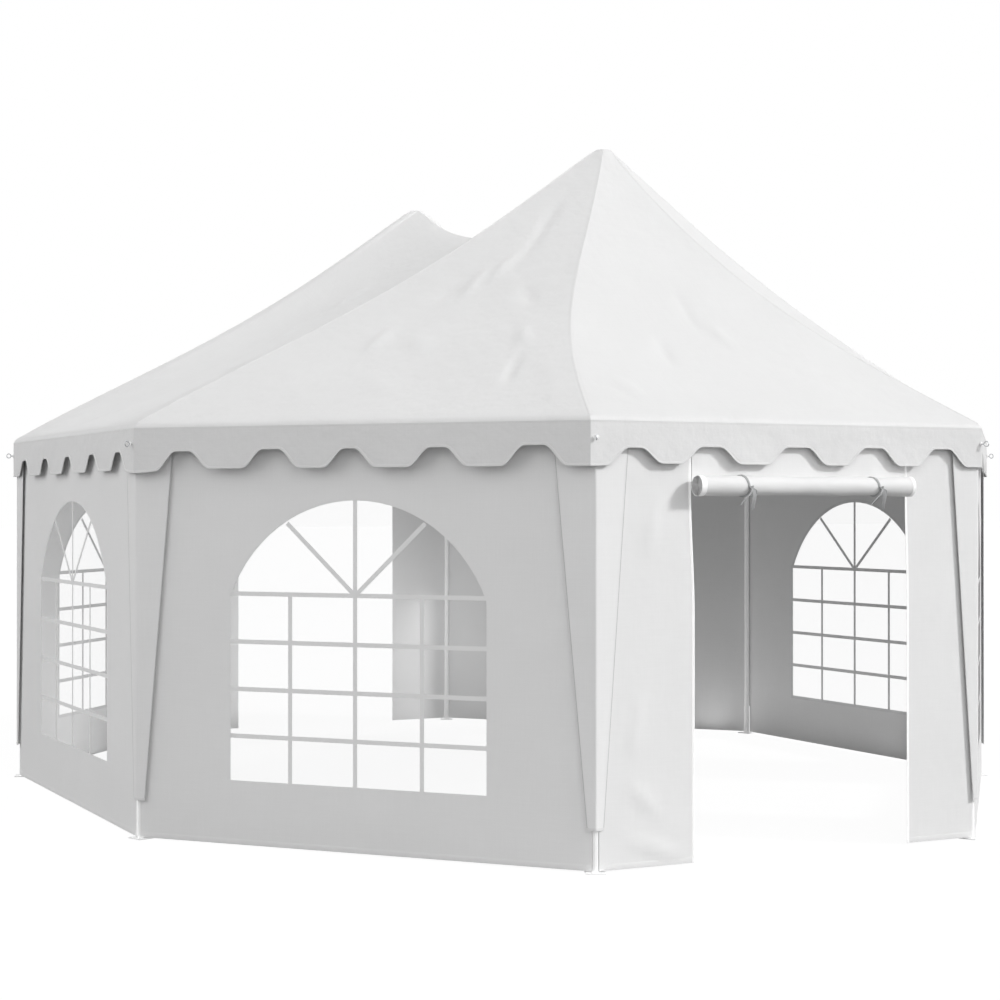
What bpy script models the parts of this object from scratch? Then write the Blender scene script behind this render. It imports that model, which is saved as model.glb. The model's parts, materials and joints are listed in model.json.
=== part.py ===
"""Marquee tent with two roof peaks, an eight-sided plan, six arched windows and two doorways.

Metres, +Z up. The origin is on the ground in the middle of the plan, and +X points out of
the front doorway. Corners and walls run counterclockwise, starting at the front doorway.
"""

import math

import bmesh
import bpy
from mathutils import Matrix, Vector

# Plan, between the centre lines of the corner posts
LONG_WALL = 2.643
END_WALL = 2.199
DIAGONAL_WALL = 2.481
DIAGONAL_ANGLE = math.radians(40.6)

# Heights
RAIL_HEIGHT = 2.100
HUB_HEIGHT = 3.240
PEAK_HEIGHT = 3.745
RIDGE_LOW = 3.440
EYE_HEIGHT = 2.020
SLEEVE_TOP = 0.200

# Steel tubes and fittings
TUBE_RADIUS = 0.016
SLEEVE_RADIUS = 0.019
ARM_LENGTH = 0.100
ARM_PASS = 0.004
ARM_SLIMMER = 0.0004
CROWN_ARM = 0.120
CROWN_ARM_START = 0.010
TUBE_LAP = 0.010
TUBE_SIDES = 12
FOOT_SIDE = 0.095
FOOT_THICKNESS = 0.005
HUB_RADIUS = 0.032
HUB_LENGTH = 0.110
CAP_RADIUS = 0.020
CAP_THICKNESS = 0.012
EYE_STEM_RADIUS = 0.004
EYE_SIDES = 8
EYE_STEM_REACH = 0.076
EYE_RING_RADIUS = 0.013
EYE_WIRE_RADIUS = 0.003

# Fabric layers, as distances out from the post centre line
CLEARANCE = 0.0003
FABRIC = 0.004
COVER_FABRIC = 0.003
FILM = 0.002
WALL_INNER = SLEEVE_RADIUS + CLEARANCE
WALL_OUTER = WALL_INNER + FABRIC
COVER_INNER = WALL_OUTER + CLEARANCE
COVER_OUTER = COVER_INNER + COVER_FABRIC
VALANCE_OUTER = 0.056

# Walls
WALL_BOTTOM = 0.010
WALL_TOP = 2.090
WALL_END_GAP = 0.016
WINDOW_SHARE = 0.282
WINDOW_SILL = 0.33
WINDOW_SPRING = 1.25
WINDOW_CROWN = 1.73
FILM_LAP = 0.020
ARCH_STEPS = 14

# Doorways: clear width, lintel height, and how far each centre lies to the right of its wall's middle
DOOR_WIDTH = 1.28
DOOR_HEIGHT = 1.79
DOOR_SHIFT = {"front": 0.04, "back": 0.0}
ROLL_RADIUS = 0.050
ROLL_HEIGHT = 1.80
ROLL_SIDES = 20
ROLL_SHORTER = 0.01

# Leg covers
COVER_TOP = 2.060
COVER_BOTTOM = 0.200
COVER_TOP_WIDTH = 0.19
COVER_BOTTOM_WIDTH = 0.065

# Roof fabric
EAVE_PITCH = math.radians(38.0)
EAVE_CLEARANCE = 0.040
EAVE_BEND = 0.050
BEND_STEPS = 4
END_SAG = 0.154
SIDE_SAG = 0.093
SIDE_SAG_POWER = 1.5
SAG_SKEW = 0.8
HIP_BOW = 0.128
HIP_BOW_SKEW = 1.2
PEAK_FLAT = 0.045
ROOF_STEPS = 12
PANEL_STEPS = 8

# Scalloped valance
LOBE_BOTTOM = 1.890
NOTCH_TOP = 1.985
NOTCHES = 5
CORNER_LOBE_SHARE = 0.56
NOTCH_HALF_FOOT = 0.150
NOTCH_HALF_TOP = 0.030
NOTCH_STEPS = 4

WALL_NAMES = ["front", "front_right", "right", "back_right", "back", "back_left", "left", "front_left"]
CORNER_NAMES = [
    "front_left", "front_right", "right_front", "right_back",
    "back_right", "back_left", "left_back", "left_front",
]
DOOR_WALLS = ("front", "back")
SADDLE_WALLS = ("right", "left")
END_CORNERS = (0, 1, 4, 5)


def plan_corners():
    """The eight post centres on the ground."""
    half_end = END_WALL / 2
    half_long = LONG_WALL / 2
    reach_x = half_long + DIAGONAL_WALL * math.cos(DIAGONAL_ANGLE)
    reach_y = half_end + DIAGONAL_WALL * math.sin(DIAGONAL_ANGLE)
    quarter = [(reach_x, half_end), (half_long, reach_y)]
    right = quarter + [(-x, y) for x, y in reversed(quarter)]
    left = [(-x, -y) for x, y in right]
    ring = [left[-1]] + right + left[:-1]
    return [Vector((x, y, 0)) for x, y in ring]


CORNERS = plan_corners()
COUNT = len(CORNERS)
PEAKS = {1: Vector((LONG_WALL / 2, 0, 0)), -1: Vector((-LONG_WALL / 2, 0, 0))}


def wall_run(index):
    """Unit vector along a wall, from its first corner to its second."""
    return (CORNERS[(index + 1) % COUNT] - CORNERS[index]).normalized()


def wall_normal(index):
    run = wall_run(index)
    return Vector((run.y, -run.x, 0))


def wall_length(index):
    return (CORNERS[(index + 1) % COUNT] - CORNERS[index]).length


def corner_out(index):
    """Unit vector that halves the outside angle at a corner."""
    return (wall_normal(index - 1) + wall_normal(index)).normalized()


def corner_at(index, offset, height):
    """Corner of the plan moved out by an offset square to both its walls."""
    place = index % COUNT
    out = corner_out(place)
    reach = offset / out.dot(wall_normal(place))
    point = CORNERS[place] + out * reach
    return Vector((point.x, point.y, height))


def corner_peak(index):
    return PEAKS[1] if CORNERS[index].x > 0 else PEAKS[-1]


def wall_frame(index):
    """Matrix whose X runs along a wall, Y points up and Z points out of it."""
    run = wall_run(index)
    out = wall_normal(index)
    start = CORNERS[index]
    return Matrix((
        (run.x, 0, out.x, start.x),
        (run.y, 0, out.y, start.y),
        (0, 1, 0, 0),
        (0, 0, 0, 1),
    ))


def clear_scene():
    for item in list(bpy.data.objects):
        bpy.data.objects.remove(item, do_unlink=True)


def make_material(name, color, roughness, metallic=0.0, alpha=1.0):
    material = bpy.data.materials.new(name)
    material.use_nodes = True
    shader = material.node_tree.nodes["Principled BSDF"]
    shader.inputs["Base Color"].default_value = (*color, 1.0)
    shader.inputs["Roughness"].default_value = roughness
    shader.inputs["Metallic"].default_value = metallic
    shader.inputs["Alpha"].default_value = alpha
    return material


def add_object(name, mesh, material):
    item = bpy.data.objects.new(name, mesh)
    bpy.context.scene.collection.objects.link(item)
    mesh.materials.clear()
    mesh.materials.append(material)
    return item


def mesh_from(name, bm):
    """Mesh with all its faces pointing out."""
    bmesh.ops.recalc_face_normals(bm, faces=bm.faces)
    if bm.calc_volume(signed=True) < 0:
        bmesh.ops.reverse_faces(bm, faces=bm.faces)
    mesh = bpy.data.meshes.new(name)
    bm.to_mesh(mesh)
    bm.free()
    return mesh


def shade_round(mesh):
    mesh.shade_smooth()
    mesh.set_sharp_from_angle(angle=math.radians(40))


def rod_mesh(start, end, radius, sides=TUBE_SIDES, spin=0.0):
    """A closed round bar between two points, its corners turned round it by an angle."""
    axis = end - start
    turn = axis.to_track_quat("Z", "Y").to_matrix().to_4x4()
    bm = bmesh.new()
    bmesh.ops.create_cone(
        bm, cap_ends=True, segments=sides, radius1=radius, radius2=radius, depth=axis.length,
        matrix=Matrix.Translation((start + end) / 2) @ turn @ Matrix.Rotation(spin, 4, "Z"),
    )
    return mesh_from("rod", bm)


def block_mesh(centre, size, turn):
    bm = bmesh.new()
    bmesh.ops.create_cube(bm, size=1.0, matrix=Matrix.Translation(centre) @ turn @ Matrix.Diagonal((*size, 1)))
    return mesh_from("block", bm)


def ring_mesh(centre, axis, radius, wire, around=14, across=6):
    """A closed round ring in the plane square to its axis."""
    turn = axis.to_track_quat("Z", "Y")
    bm = bmesh.new()
    rings = []
    for step in range(around):
        angle = math.tau * step / around
        spoke = Vector((math.cos(angle), math.sin(angle), 0))
        loop = []
        for part in range(across):
            bend = math.tau * part / across
            local = spoke * (radius + wire * math.cos(bend)) + Vector((0, 0, wire * math.sin(bend)))
            loop.append(bm.verts.new(centre + turn @ local))
        rings.append(loop)
    for step in range(around):
        here, there = rings[step], rings[(step + 1) % around]
        for part in range(across):
            after = (part + 1) % across
            bm.faces.new((here[part], there[part], there[after], here[after]))
    return mesh_from("ring", bm)


def combine(name, meshes, operation):
    """One solid from a first mesh and the meshes joined to it or cut from it."""
    base = bpy.data.objects.new(name, meshes[0])
    tools = [bpy.data.objects.new("tool", mesh) for mesh in meshes[1:]]
    for item in [base] + tools:
        bpy.context.scene.collection.objects.link(item)
    for tool in tools:
        step = base.modifiers.new("step", "BOOLEAN")
        step.operation = operation
        step.solver = "EXACT"
        step.object = tool
    graph = bpy.context.evaluated_depsgraph_get()
    mesh = bpy.data.meshes.new_from_object(base.evaluated_get(graph))
    mesh.name = name
    for item in [base] + tools:
        bpy.data.objects.remove(item, do_unlink=True)
    return mesh


def plate_mesh(name, outline, holes, near, far, frame):
    """A flat plate with openings, drawn in a wall's frame between two distances out."""
    bm = bmesh.new()
    edges = []
    for loop in [outline] + holes:
        points = [bm.verts.new((u, v, near)) for u, v in loop]
        for place, point in enumerate(points):
            edges.append(bm.edges.new((point, points[(place + 1) % len(points)])))
    bmesh.ops.triangle_fill(bm, use_beauty=True, edges=edges)
    grown = bmesh.ops.extrude_face_region(bm, geom=bm.faces[:])
    moved = [item for item in grown["geom"] if isinstance(item, bmesh.types.BMVert)]
    bmesh.ops.translate(bm, vec=(0, 0, far - near), verts=moved)
    bm.transform(frame)
    return mesh_from(name, bm)


def window_outline(length, grow=0.0):
    """Arched window outline in a wall's frame, grown by a lap on every side."""
    half = WINDOW_SHARE * length
    rise = WINDOW_CROWN - WINDOW_SPRING
    radius = (half * half + rise * rise) / (2 * rise)
    centre = WINDOW_CROWN - radius
    reach = math.asin(half / radius)
    middle = length / 2
    points = [(middle - half - grow, WINDOW_SILL - grow), (middle + half + grow, WINDOW_SILL - grow)]
    for step in range(ARCH_STEPS + 1):
        angle = reach * (1 - 2 * step / ARCH_STEPS)
        points.append((
            middle + (half + grow) / half * radius * math.sin(angle),
            centre + (radius + grow) * math.cos(angle),
        ))
    return points


def build_post(index, steel):
    """Foot, sleeve, tube, corner fitting and guy ring of one leg, welded into one piece."""
    foot = CORNERS[index]
    out = corner_out(index)
    up = Vector((0, 0, 1))
    heading = Matrix.Rotation(math.atan2(out.y, out.x), 4, "Z")
    head = foot + up * RAIL_HEIGHT
    hub = corner_peak(index) + up * HUB_HEIGHT
    eye = foot + up * EYE_HEIGHT
    ring_centre = eye + out * (EYE_STEM_REACH + EYE_RING_RADIUS)
    arms = [wall_run(index), -wall_run(index - 1), (hub - head).normalized(), -up]
    pieces = [
        rod_mesh(foot + up * (SLEEVE_TOP - TUBE_LAP), head - up * (ARM_LENGTH - TUBE_LAP), TUBE_RADIUS),
        block_mesh(foot + up * FOOT_THICKNESS / 2, (FOOT_SIDE, FOOT_SIDE, FOOT_THICKNESS), heading),
        rod_mesh(foot + up * FOOT_THICKNESS / 2, foot + up * SLEEVE_TOP, SLEEVE_RADIUS),
    ]
    for place, arm in enumerate(arms):
        radius = SLEEVE_RADIUS - ARM_SLIMMER * place
        pieces.append(rod_mesh(head - arm * ARM_PASS, head + arm * ARM_LENGTH, radius))
    pieces.append(rod_mesh(eye, eye + out * EYE_STEM_REACH, EYE_STEM_RADIUS, EYE_SIDES))
    pieces.append(ring_mesh(ring_centre, out.cross(up), EYE_RING_RADIUS, EYE_WIRE_RADIUS))
    name = CORNER_NAMES[index] + "_post"
    mesh = combine(name, pieces, "UNION")
    shade_round(mesh)
    add_object(name, mesh, steel)


def build_rail(index, steel):
    """Eave tube between the fittings of two posts."""
    up = Vector((0, 0, RAIL_HEIGHT))
    inset = wall_run(index) * (ARM_LENGTH + CLEARANCE)
    mesh = rod_mesh(CORNERS[index] + up + inset, CORNERS[(index + 1) % COUNT] + up - inset, TUBE_RADIUS)
    shade_round(mesh)
    add_object(WALL_NAMES[index] + "_rail", mesh, steel)


def build_rafter(index, steel):
    """Roof tube from a post's fitting up to the arm of its crown."""
    low = CORNERS[index] + Vector((0, 0, RAIL_HEIGHT))
    high = corner_peak(index) + Vector((0, 0, HUB_HEIGHT))
    slope = (high - low).normalized()
    mesh = rod_mesh(low + slope * (ARM_LENGTH + CLEARANCE), high - slope * (CROWN_ARM + CLEARANCE), TUBE_RADIUS)
    shade_round(mesh)
    add_object(CORNER_NAMES[index] + "_rafter", mesh, steel)


def build_crown(name, side, steel):
    """Hub with four rafter arms, a ridge arm, and the mast and cap that lift the roof's peak."""
    peak = PEAKS[side]
    up = Vector((0, 0, 1))
    hub = peak + up * HUB_HEIGHT
    cap_top = peak + up * (PEAK_HEIGHT - FABRIC - CLEARANCE)
    pieces = [
        rod_mesh(hub - up * HUB_LENGTH / 2, hub + up * HUB_LENGTH / 2, HUB_RADIUS, 16),
        rod_mesh(hub, cap_top - up * CAP_THICKNESS / 2, TUBE_RADIUS),
        rod_mesh(cap_top - up * CAP_THICKNESS, cap_top, CAP_RADIUS, 16),
    ]
    arms = [Vector((-side, 0, 0))]
    for corner in CORNERS:
        if corner.x * side > 0:
            arms.append((corner + up * RAIL_HEIGHT - hub).normalized())
    for place, arm in enumerate(arms):
        radius = SLEEVE_RADIUS - ARM_SLIMMER * place
        pieces.append(rod_mesh(hub + arm * CROWN_ARM_START, hub + arm * CROWN_ARM, radius))
    mesh = combine(name, pieces, "UNION")
    shade_round(mesh)
    add_object(name, mesh, steel)


def build_ridge_bar(steel):
    reach = Vector((LONG_WALL / 2 - CROWN_ARM - CLEARANCE, 0, 0))
    up = Vector((0, 0, HUB_HEIGHT))
    mesh = rod_mesh(up - reach, up + reach, TUBE_RADIUS)
    shade_round(mesh)
    add_object("ridge_bar", mesh, steel)


def build_wall(index, fabric):
    """A window wall, or a doorway wall with its header and two side panels in one piece."""
    name = WALL_NAMES[index]
    length = wall_length(index)
    left, right = WALL_END_GAP, length - WALL_END_GAP
    if name in DOOR_WALLS:
        middle = length / 2 + DOOR_SHIFT[name]
        jambs = (middle - DOOR_WIDTH / 2, middle + DOOR_WIDTH / 2)
        outline = [
            (left, WALL_BOTTOM), (jambs[0], WALL_BOTTOM), (jambs[0], DOOR_HEIGHT),
            (jambs[1], DOOR_HEIGHT), (jambs[1], WALL_BOTTOM), (right, WALL_BOTTOM),
            (right, WALL_TOP), (left, WALL_TOP),
        ]
        holes = []
        title = name + "_door_wall"
    else:
        outline = [(left, WALL_BOTTOM), (right, WALL_BOTTOM), (right, WALL_TOP), (left, WALL_TOP)]
        holes = [window_outline(length)]
        title = name + "_wall"
    mesh = plate_mesh(title, outline, holes, WALL_INNER, WALL_OUTER, wall_frame(index))
    add_object(title, mesh, fabric)


def build_window(index, film):
    """Clear sheet that laps the window opening on the wall's inner face."""
    title = WALL_NAMES[index] + "_window"
    outline = window_outline(wall_length(index), FILM_LAP)
    far = WALL_INNER - CLEARANCE
    mesh = plate_mesh(title, outline, [], far - FILM, far, wall_frame(index))
    add_object(title, mesh, film)


def build_door_roll(index, fabric):
    """Door flap rolled up on the outside, under the header."""
    name = WALL_NAMES[index]
    half = DOOR_WIDTH / 2 - ROLL_SHORTER
    middle = wall_length(index) / 2 + DOOR_SHIFT[name]
    out = WALL_OUTER + CLEARANCE + ROLL_RADIUS
    frame = wall_frame(index)
    start = frame @ Vector((middle - half, ROLL_HEIGHT, out))
    end = frame @ Vector((middle + half, ROLL_HEIGHT, out))
    mesh = rod_mesh(start, end, ROLL_RADIUS, ROLL_SIDES)
    shade_round(mesh)
    add_object(name + "_door_roll", mesh, fabric)


def eye_cutter(index):
    """Hole through the fabric at a corner for the stem of the guy ring."""
    out = corner_out(index)
    eye = CORNERS[index] + Vector((0, 0, EYE_HEIGHT))
    radius = EYE_STEM_RADIUS + 2 * CLEARANCE
    half_side = math.pi / EYE_SIDES
    return rod_mesh(eye + out * WALL_INNER, eye + out * EYE_STEM_REACH, radius, EYE_SIDES, half_side)


def build_leg_cover(index, fabric):
    """Tapered strip of fabric folded round a corner, over the ends of two walls."""
    before = -wall_run(index - 1)
    after = wall_run(index)
    bm = bmesh.new()
    loops = []
    for height, width in ((COVER_BOTTOM, COVER_BOTTOM_WIDTH), (COVER_TOP, COVER_TOP_WIDTH)):
        outer = corner_at(index, COVER_OUTER, height)
        inner = corner_at(index, COVER_INNER, height)
        loop = [outer + before * width, outer, outer + after * width]
        loop += [inner + after * width, inner, inner + before * width]
        loops.append([bm.verts.new(point) for point in loop])
    low, high = loops
    for place in range(len(low)):
        after_place = (place + 1) % len(low)
        bm.faces.new((low[place], low[after_place], high[after_place], high[place]))
    bm.faces.new(low)
    bm.faces.new(high)
    title = CORNER_NAMES[index] + "_leg_cover"
    mesh = combine(title, [mesh_from("cover", bm), eye_cutter(index)], "DIFFERENCE")
    add_object(title, mesh, fabric)


def notch_share(distance):
    """How far the valance's edge has risen into a notch, from 0 at a lobe to 1 at the notch's top."""
    share = (NOTCH_HALF_FOOT - abs(distance)) / (NOTCH_HALF_FOOT - NOTCH_HALF_TOP)
    share = min(max(share, 0.0), 1.0)
    return share * share * (3 - 2 * share)


def scallop_outline(length):
    """Lower edge of one wall's valance, from its first corner to its second."""
    spacing = length / (NOTCHES - 1 + 2 * CORNER_LOBE_SHARE)
    points = []
    for notch in range(NOTCHES):
        centre = spacing * (CORNER_LOBE_SHARE + notch)
        steps = []
        for step in range(NOTCH_STEPS + 1):
            steps.append(NOTCH_HALF_FOOT + (NOTCH_HALF_TOP - NOTCH_HALF_FOOT) * step / NOTCH_STEPS)
        for distance in [-step for step in steps] + list(reversed(steps)):
            rise = (NOTCH_TOP - LOBE_BOTTOM) * notch_share(distance)
            points.append((centre + distance, LOBE_BOTTOM + rise))
    return points


def hip_plan(index, share):
    """Plan point on a hip: share 1 is at the eave and 0 at the peak's rim."""
    foot = corner_at(index, eave_edge()[0], 0)
    peak = corner_peak(index)
    rim = peak + (foot - peak).normalized() * PEAK_FLAT
    point = rim + (foot - rim) * share
    if index in END_CORNERS:
        along = (foot - peak).normalized()
        side = Vector((along.y, -along.x, 0))
        point += side * HIP_BOW * math.sin(math.pi * share ** HIP_BOW_SKEW)
    return point


def eave_edge():
    """Distance out and height of the roof fabric where its slope meets the bend over the rail."""
    centre_out = VALANCE_OUTER - EAVE_BEND
    lift = EAVE_CLEARANCE + FABRIC - EAVE_BEND - centre_out * math.sin(EAVE_PITCH)
    centre_height = RAIL_HEIGHT + lift / math.cos(EAVE_PITCH)
    return (
        centre_out + EAVE_BEND * math.sin(EAVE_PITCH),
        centre_height + EAVE_BEND * math.cos(EAVE_PITCH),
        centre_out,
        centre_height,
    )


def ridge_height(x):
    reach = LONG_WALL / 2 - PEAK_FLAT
    return RIDGE_LOW + (PEAK_HEIGHT - RIDGE_LOW) * (x / reach) ** 2


def roof_sag(wall, across, share):
    """How far the roof hangs below a straight line, most of it above the middle of the slope."""
    first, second = (1.0 if index % COUNT in END_CORNERS else 0.0 for index in (wall, wall + 1))
    end_weight = first + (second - first) * across
    wave = math.sin(math.pi * share ** SAG_SKEW)
    return (1 - end_weight) * SIDE_SAG * wave ** SIDE_SAG_POWER + end_weight * END_SAG * wave


def roof_point(wall, across, share):
    """Point of the roof's upper face over one wall, across from 0 to 1 and up from share 1 to 0."""
    first, second = wall, (wall + 1) % COUNT
    base_height = eave_edge()[1]
    if WALL_NAMES[wall] in SADDLE_WALLS and 0 < across < 1:
        low = corner_at(first, eave_edge()[0], 0).lerp(corner_at(second, eave_edge()[0], 0), across)
        reach = LONG_WALL / 2 - PEAK_FLAT
        place = (across * PANEL_STEPS - 1) / (PANEL_STEPS - 2)
        facing = 1 if CORNERS[first].x > 0 else -1
        top = Vector((facing * reach * (1 - 2 * place), 0, 0))
        plan = top.lerp(low, share)
        top_height = ridge_height(top.x)
    else:
        plan = hip_plan(first, share).lerp(hip_plan(second, share), across)
        top_height = PEAK_HEIGHT
    height = base_height + (top_height - base_height) * (1 - share)
    height -= roof_sag(wall, across, share)
    return Vector((plan.x, plan.y, height))


def valance_face(bm, wall, top_row):
    """One flat face from the bend down to the scalloped edge."""
    bottom = VALANCE_OUTER
    start = corner_at(wall, bottom, LOBE_BOTTOM)
    end = corner_at(wall + 1, bottom, LOBE_BOTTOM)
    run = wall_run(wall)
    points = [start]
    for along, height in scallop_outline((end - start).length):
        point = start + run * along
        points.append(Vector((point.x, point.y, height)))
    points.append(end)
    loop = [bm.verts.new(point) for point in points]
    bm.faces.new(loop + [bm.verts.new(point) for point in reversed(top_row)])


def build_canopy(fabric):
    """Roof, eave bend and scalloped valance as one shell of fabric."""
    bm = bmesh.new()
    centre_out, centre_height = eave_edge()[2:]
    peak_rims = {1: [], -1: []}
    for wall in range(COUNT):
        rows = []
        for step in range(BEND_STEPS + 1):
            angle = (math.pi / 2 - EAVE_PITCH) * step / BEND_STEPS
            offset = centre_out + EAVE_BEND * math.cos(angle)
            height = centre_height + EAVE_BEND * math.sin(angle)
            first, second = corner_at(wall, offset, height), corner_at(wall + 1, offset, height)
            rows.append([first.lerp(second, part / PANEL_STEPS) for part in range(PANEL_STEPS + 1)])
        valance_face(bm, wall, rows[0])
        for step in range(1, ROOF_STEPS + 1):
            share = 1 - step / ROOF_STEPS
            rows.append([roof_point(wall, part / PANEL_STEPS, share) for part in range(PANEL_STEPS + 1)])
        grid = [[bm.verts.new(point) for point in row] for row in rows]
        for low, high in zip(grid, grid[1:]):
            for part in range(PANEL_STEPS):
                bm.faces.new((low[part], low[part + 1], high[part + 1], high[part]))
        for point in rows[-1]:
            if abs(point.z - PEAK_HEIGHT) < CLEARANCE:
                peak_rims[1 if point.x > 0 else -1].append(point)
    for side, rim in peak_rims.items():
        rim.sort(key=lambda point: math.atan2(point.y, (point.x - PEAKS[side].x)))
        unique = [point for place, point in enumerate(rim) if (point - rim[place - 1]).length > CLEARANCE]
        bm.faces.new([bm.verts.new(point) for point in unique])
    bmesh.ops.remove_doubles(bm, verts=bm.verts, dist=CLEARANCE / 3)
    shell = mesh_from("shell", bm)
    item = add_object("shell", shell, fabric)
    thick = item.modifiers.new("thick", "SOLIDIFY")
    thick.thickness = FABRIC
    thick.offset = -1
    thick.use_even_offset = True
    graph = bpy.context.evaluated_depsgraph_get()
    solid = bpy.data.meshes.new_from_object(item.evaluated_get(graph))
    bpy.data.objects.remove(item, do_unlink=True)
    mesh = combine("roof_canopy", [solid] + [eye_cutter(index) for index in range(COUNT)], "DIFFERENCE")
    shade_round(mesh)
    add_object("roof_canopy", mesh, fabric)


def main():
    clear_scene()
    steel = make_material("white_painted_steel", (0.86, 0.86, 0.86), 0.35)
    roof_fabric = make_material("white_roof_fabric", (0.83, 0.83, 0.83), 0.60)
    wall_fabric = make_material("white_wall_fabric", (0.80, 0.80, 0.80), 0.65)
    film = make_material("clear_window_film", (0.90, 0.92, 0.93), 0.08, alpha=0.25)
    for index in range(COUNT):
        build_post(index, steel)
        build_rail(index, steel)
        build_rafter(index, steel)
        build_wall(index, wall_fabric)
        build_leg_cover(index, wall_fabric)
        if WALL_NAMES[index] in DOOR_WALLS:
            build_door_roll(index, wall_fabric)
        else:
            build_window(index, film)
    build_crown("front_crown", 1, steel)
    build_crown("back_crown", -1, steel)
    build_ridge_bar(steel)
    build_canopy(roof_fabric)


main()
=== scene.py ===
"""Looks of the marquee tent: its fabric, windows, door rolls, paint, light and stage.

Metres, +Z up. Corners and walls run counterclockwise, starting at the front doorway.
On a wall, along runs from its first corner, up is the height and out is the distance from
the centre line of the posts.
"""

import json
import math
import random

import bpy
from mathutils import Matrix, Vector, noise


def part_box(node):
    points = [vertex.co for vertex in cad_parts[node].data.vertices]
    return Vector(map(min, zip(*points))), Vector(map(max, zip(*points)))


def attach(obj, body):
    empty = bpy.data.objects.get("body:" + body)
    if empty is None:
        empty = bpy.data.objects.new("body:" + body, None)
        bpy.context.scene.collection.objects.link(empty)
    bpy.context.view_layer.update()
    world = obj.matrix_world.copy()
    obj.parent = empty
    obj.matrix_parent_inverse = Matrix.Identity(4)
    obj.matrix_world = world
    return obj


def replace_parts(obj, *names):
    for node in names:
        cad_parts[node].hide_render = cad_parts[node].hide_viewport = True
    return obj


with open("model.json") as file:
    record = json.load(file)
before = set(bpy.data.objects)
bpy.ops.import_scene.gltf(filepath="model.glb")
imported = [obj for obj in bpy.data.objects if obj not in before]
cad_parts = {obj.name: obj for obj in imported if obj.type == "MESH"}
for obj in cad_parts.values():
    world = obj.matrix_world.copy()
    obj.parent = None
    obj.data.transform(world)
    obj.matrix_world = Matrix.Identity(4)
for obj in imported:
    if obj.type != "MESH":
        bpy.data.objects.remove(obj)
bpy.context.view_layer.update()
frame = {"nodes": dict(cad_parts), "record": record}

WALL_NAMES = ["front", "front_right", "right", "back_right", "back", "back_left", "left", "front_left"]
CORNER_NAMES = [
    "front_left", "front_right", "right_front", "right_back",
    "back_right", "back_left", "left_back", "left_front",
]
DOOR_WALLS = ("front", "back")
SADDLE_WALLS = ("right", "left")
END_CORNERS = (0, 1, 4, 5)
UP = Vector((0, 0, 1))

# Plan and heights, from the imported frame
MOUNTS = {mount["name"]: Vector(mount["pos_m"]) for mount in frame["record"]["mounts"]}
CORNERS = [MOUNTS[name + "_foot"] for name in CORNER_NAMES]
COUNT = len(CORNERS)
SIDE_Y = CORNERS[2].y
PEAK_X = CORNERS[2].x
PEAKS = {1: Vector((PEAK_X, 0, 0)), -1: Vector((-PEAK_X, 0, 0))}
ROOF_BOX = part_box("roof_canopy")
PEAK_HEIGHT = ROOF_BOX[1].z
LOBE_BOTTOM = ROOF_BOX[0].z
VALANCE_OUTER = ROOF_BOX[1].y - SIDE_Y
WALL_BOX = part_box("right_wall")
WALL_INNER = WALL_BOX[0].y - SIDE_Y
WALL_OUTER = WALL_BOX[1].y - SIDE_Y
WALL_BOTTOM = WALL_BOX[0].z
WALL_TOP = WALL_BOX[1].z
FILM_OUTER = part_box("right_window")[1].y - SIDE_Y
COVER_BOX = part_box("right_front_leg_cover")
COVER_OUTER = COVER_BOX[1].y - SIDE_Y
COVER_BOTTOM = COVER_BOX[0].z
COVER_TOP = COVER_BOX[1].z
ROLL_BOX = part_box("front_door_roll")
ROLL_RADIUS = (ROLL_BOX[1].z - ROLL_BOX[0].z) / 2
ROLL_HEIGHT = ROLL_BOX[0].z + ROLL_RADIUS
ROLL_OUT = ROLL_BOX[0].x + ROLL_RADIUS - CORNERS[0].x

# Cloth thickness and sewing
ROOF_CLOTH = 0.0016
WALL_CLOTH = 0.0012
FILM_CLOTH = 0.0005
TAPE = 0.0008
STITCH_PITCH = 0.008
FINE_PITCH = 0.0065
STITCH_LENGTH = 0.0042
STITCH_WIDTH = 0.0007
SHARP_ANGLE = math.radians(32)
WELD_GAP = 1e-5

# Walls, windows and doorways
WALL_END_GAP = 0.009
WALL_GRID = 0.03
WALL_WAVE = 0.0030
WALL_HEM = 0.028
WALL_STITCH_INSET = 0.004
CUT_DEPTHS = (-0.05, 0.10)
WINDOW_SHARE = 0.282
WINDOW_SILL = 0.33
WINDOW_SPRING = 1.25
WINDOW_CROWN = 1.73
WINDOW_STITCH_GAP = 0.007
FILM_LAP = 0.020
FILM_MARGIN = 0.02
FILM_GRID = 0.06
FILM_SEAT = 0.0004
FILM_WAVE = 0.00035
ARCH_STEPS = 28
DOOR_WIDTH = 1.28
DOOR_HEIGHT = 1.79
DOOR_SHIFT = {"front": 0.04, "back": 0.0}
# How far the left and right jambs' cloth strays along the wall, each at the header and below the sway
JAMB_SWAY = {"front": ((0.004, 0.024), (-0.012, 0.0))}
JAMB_SWAY_DROP = 0.6
JAMB_STEPS = 24
ZIP_TOP_GAP = 0.04
ZIP_WIDTH = 0.013
ZIP_LAP = 0.003
ZIP_PITCH = 0.0032
ZIP_TOOTH = (ZIP_PITCH * 0.55, 0.0055, 0.0022)
ZIP_BEAD_SHIFT = 0.0035
ZIP_STEPS = 60

# Window bars
BAR_WIDTH = 0.022
BAR_LAP = 0.008
BAR_DEPTHS = (0.0002, 0.0012)
BAR_STEP = 0.0001
BAR_HEIGHTS = (0.553, 0.788, 1.025, 1.265)
BAR_SPREAD = 0.515
FAN_HEIGHT = 1.61
FAN_SPREAD = 0.54

# Door rolls and their ties
TIE_PLACES = {"front": (0.777, 1.543), "back": (0.98, 1.50)}
KNOT_TURNS = {"front": math.radians(168), "back": math.radians(205)}
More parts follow.
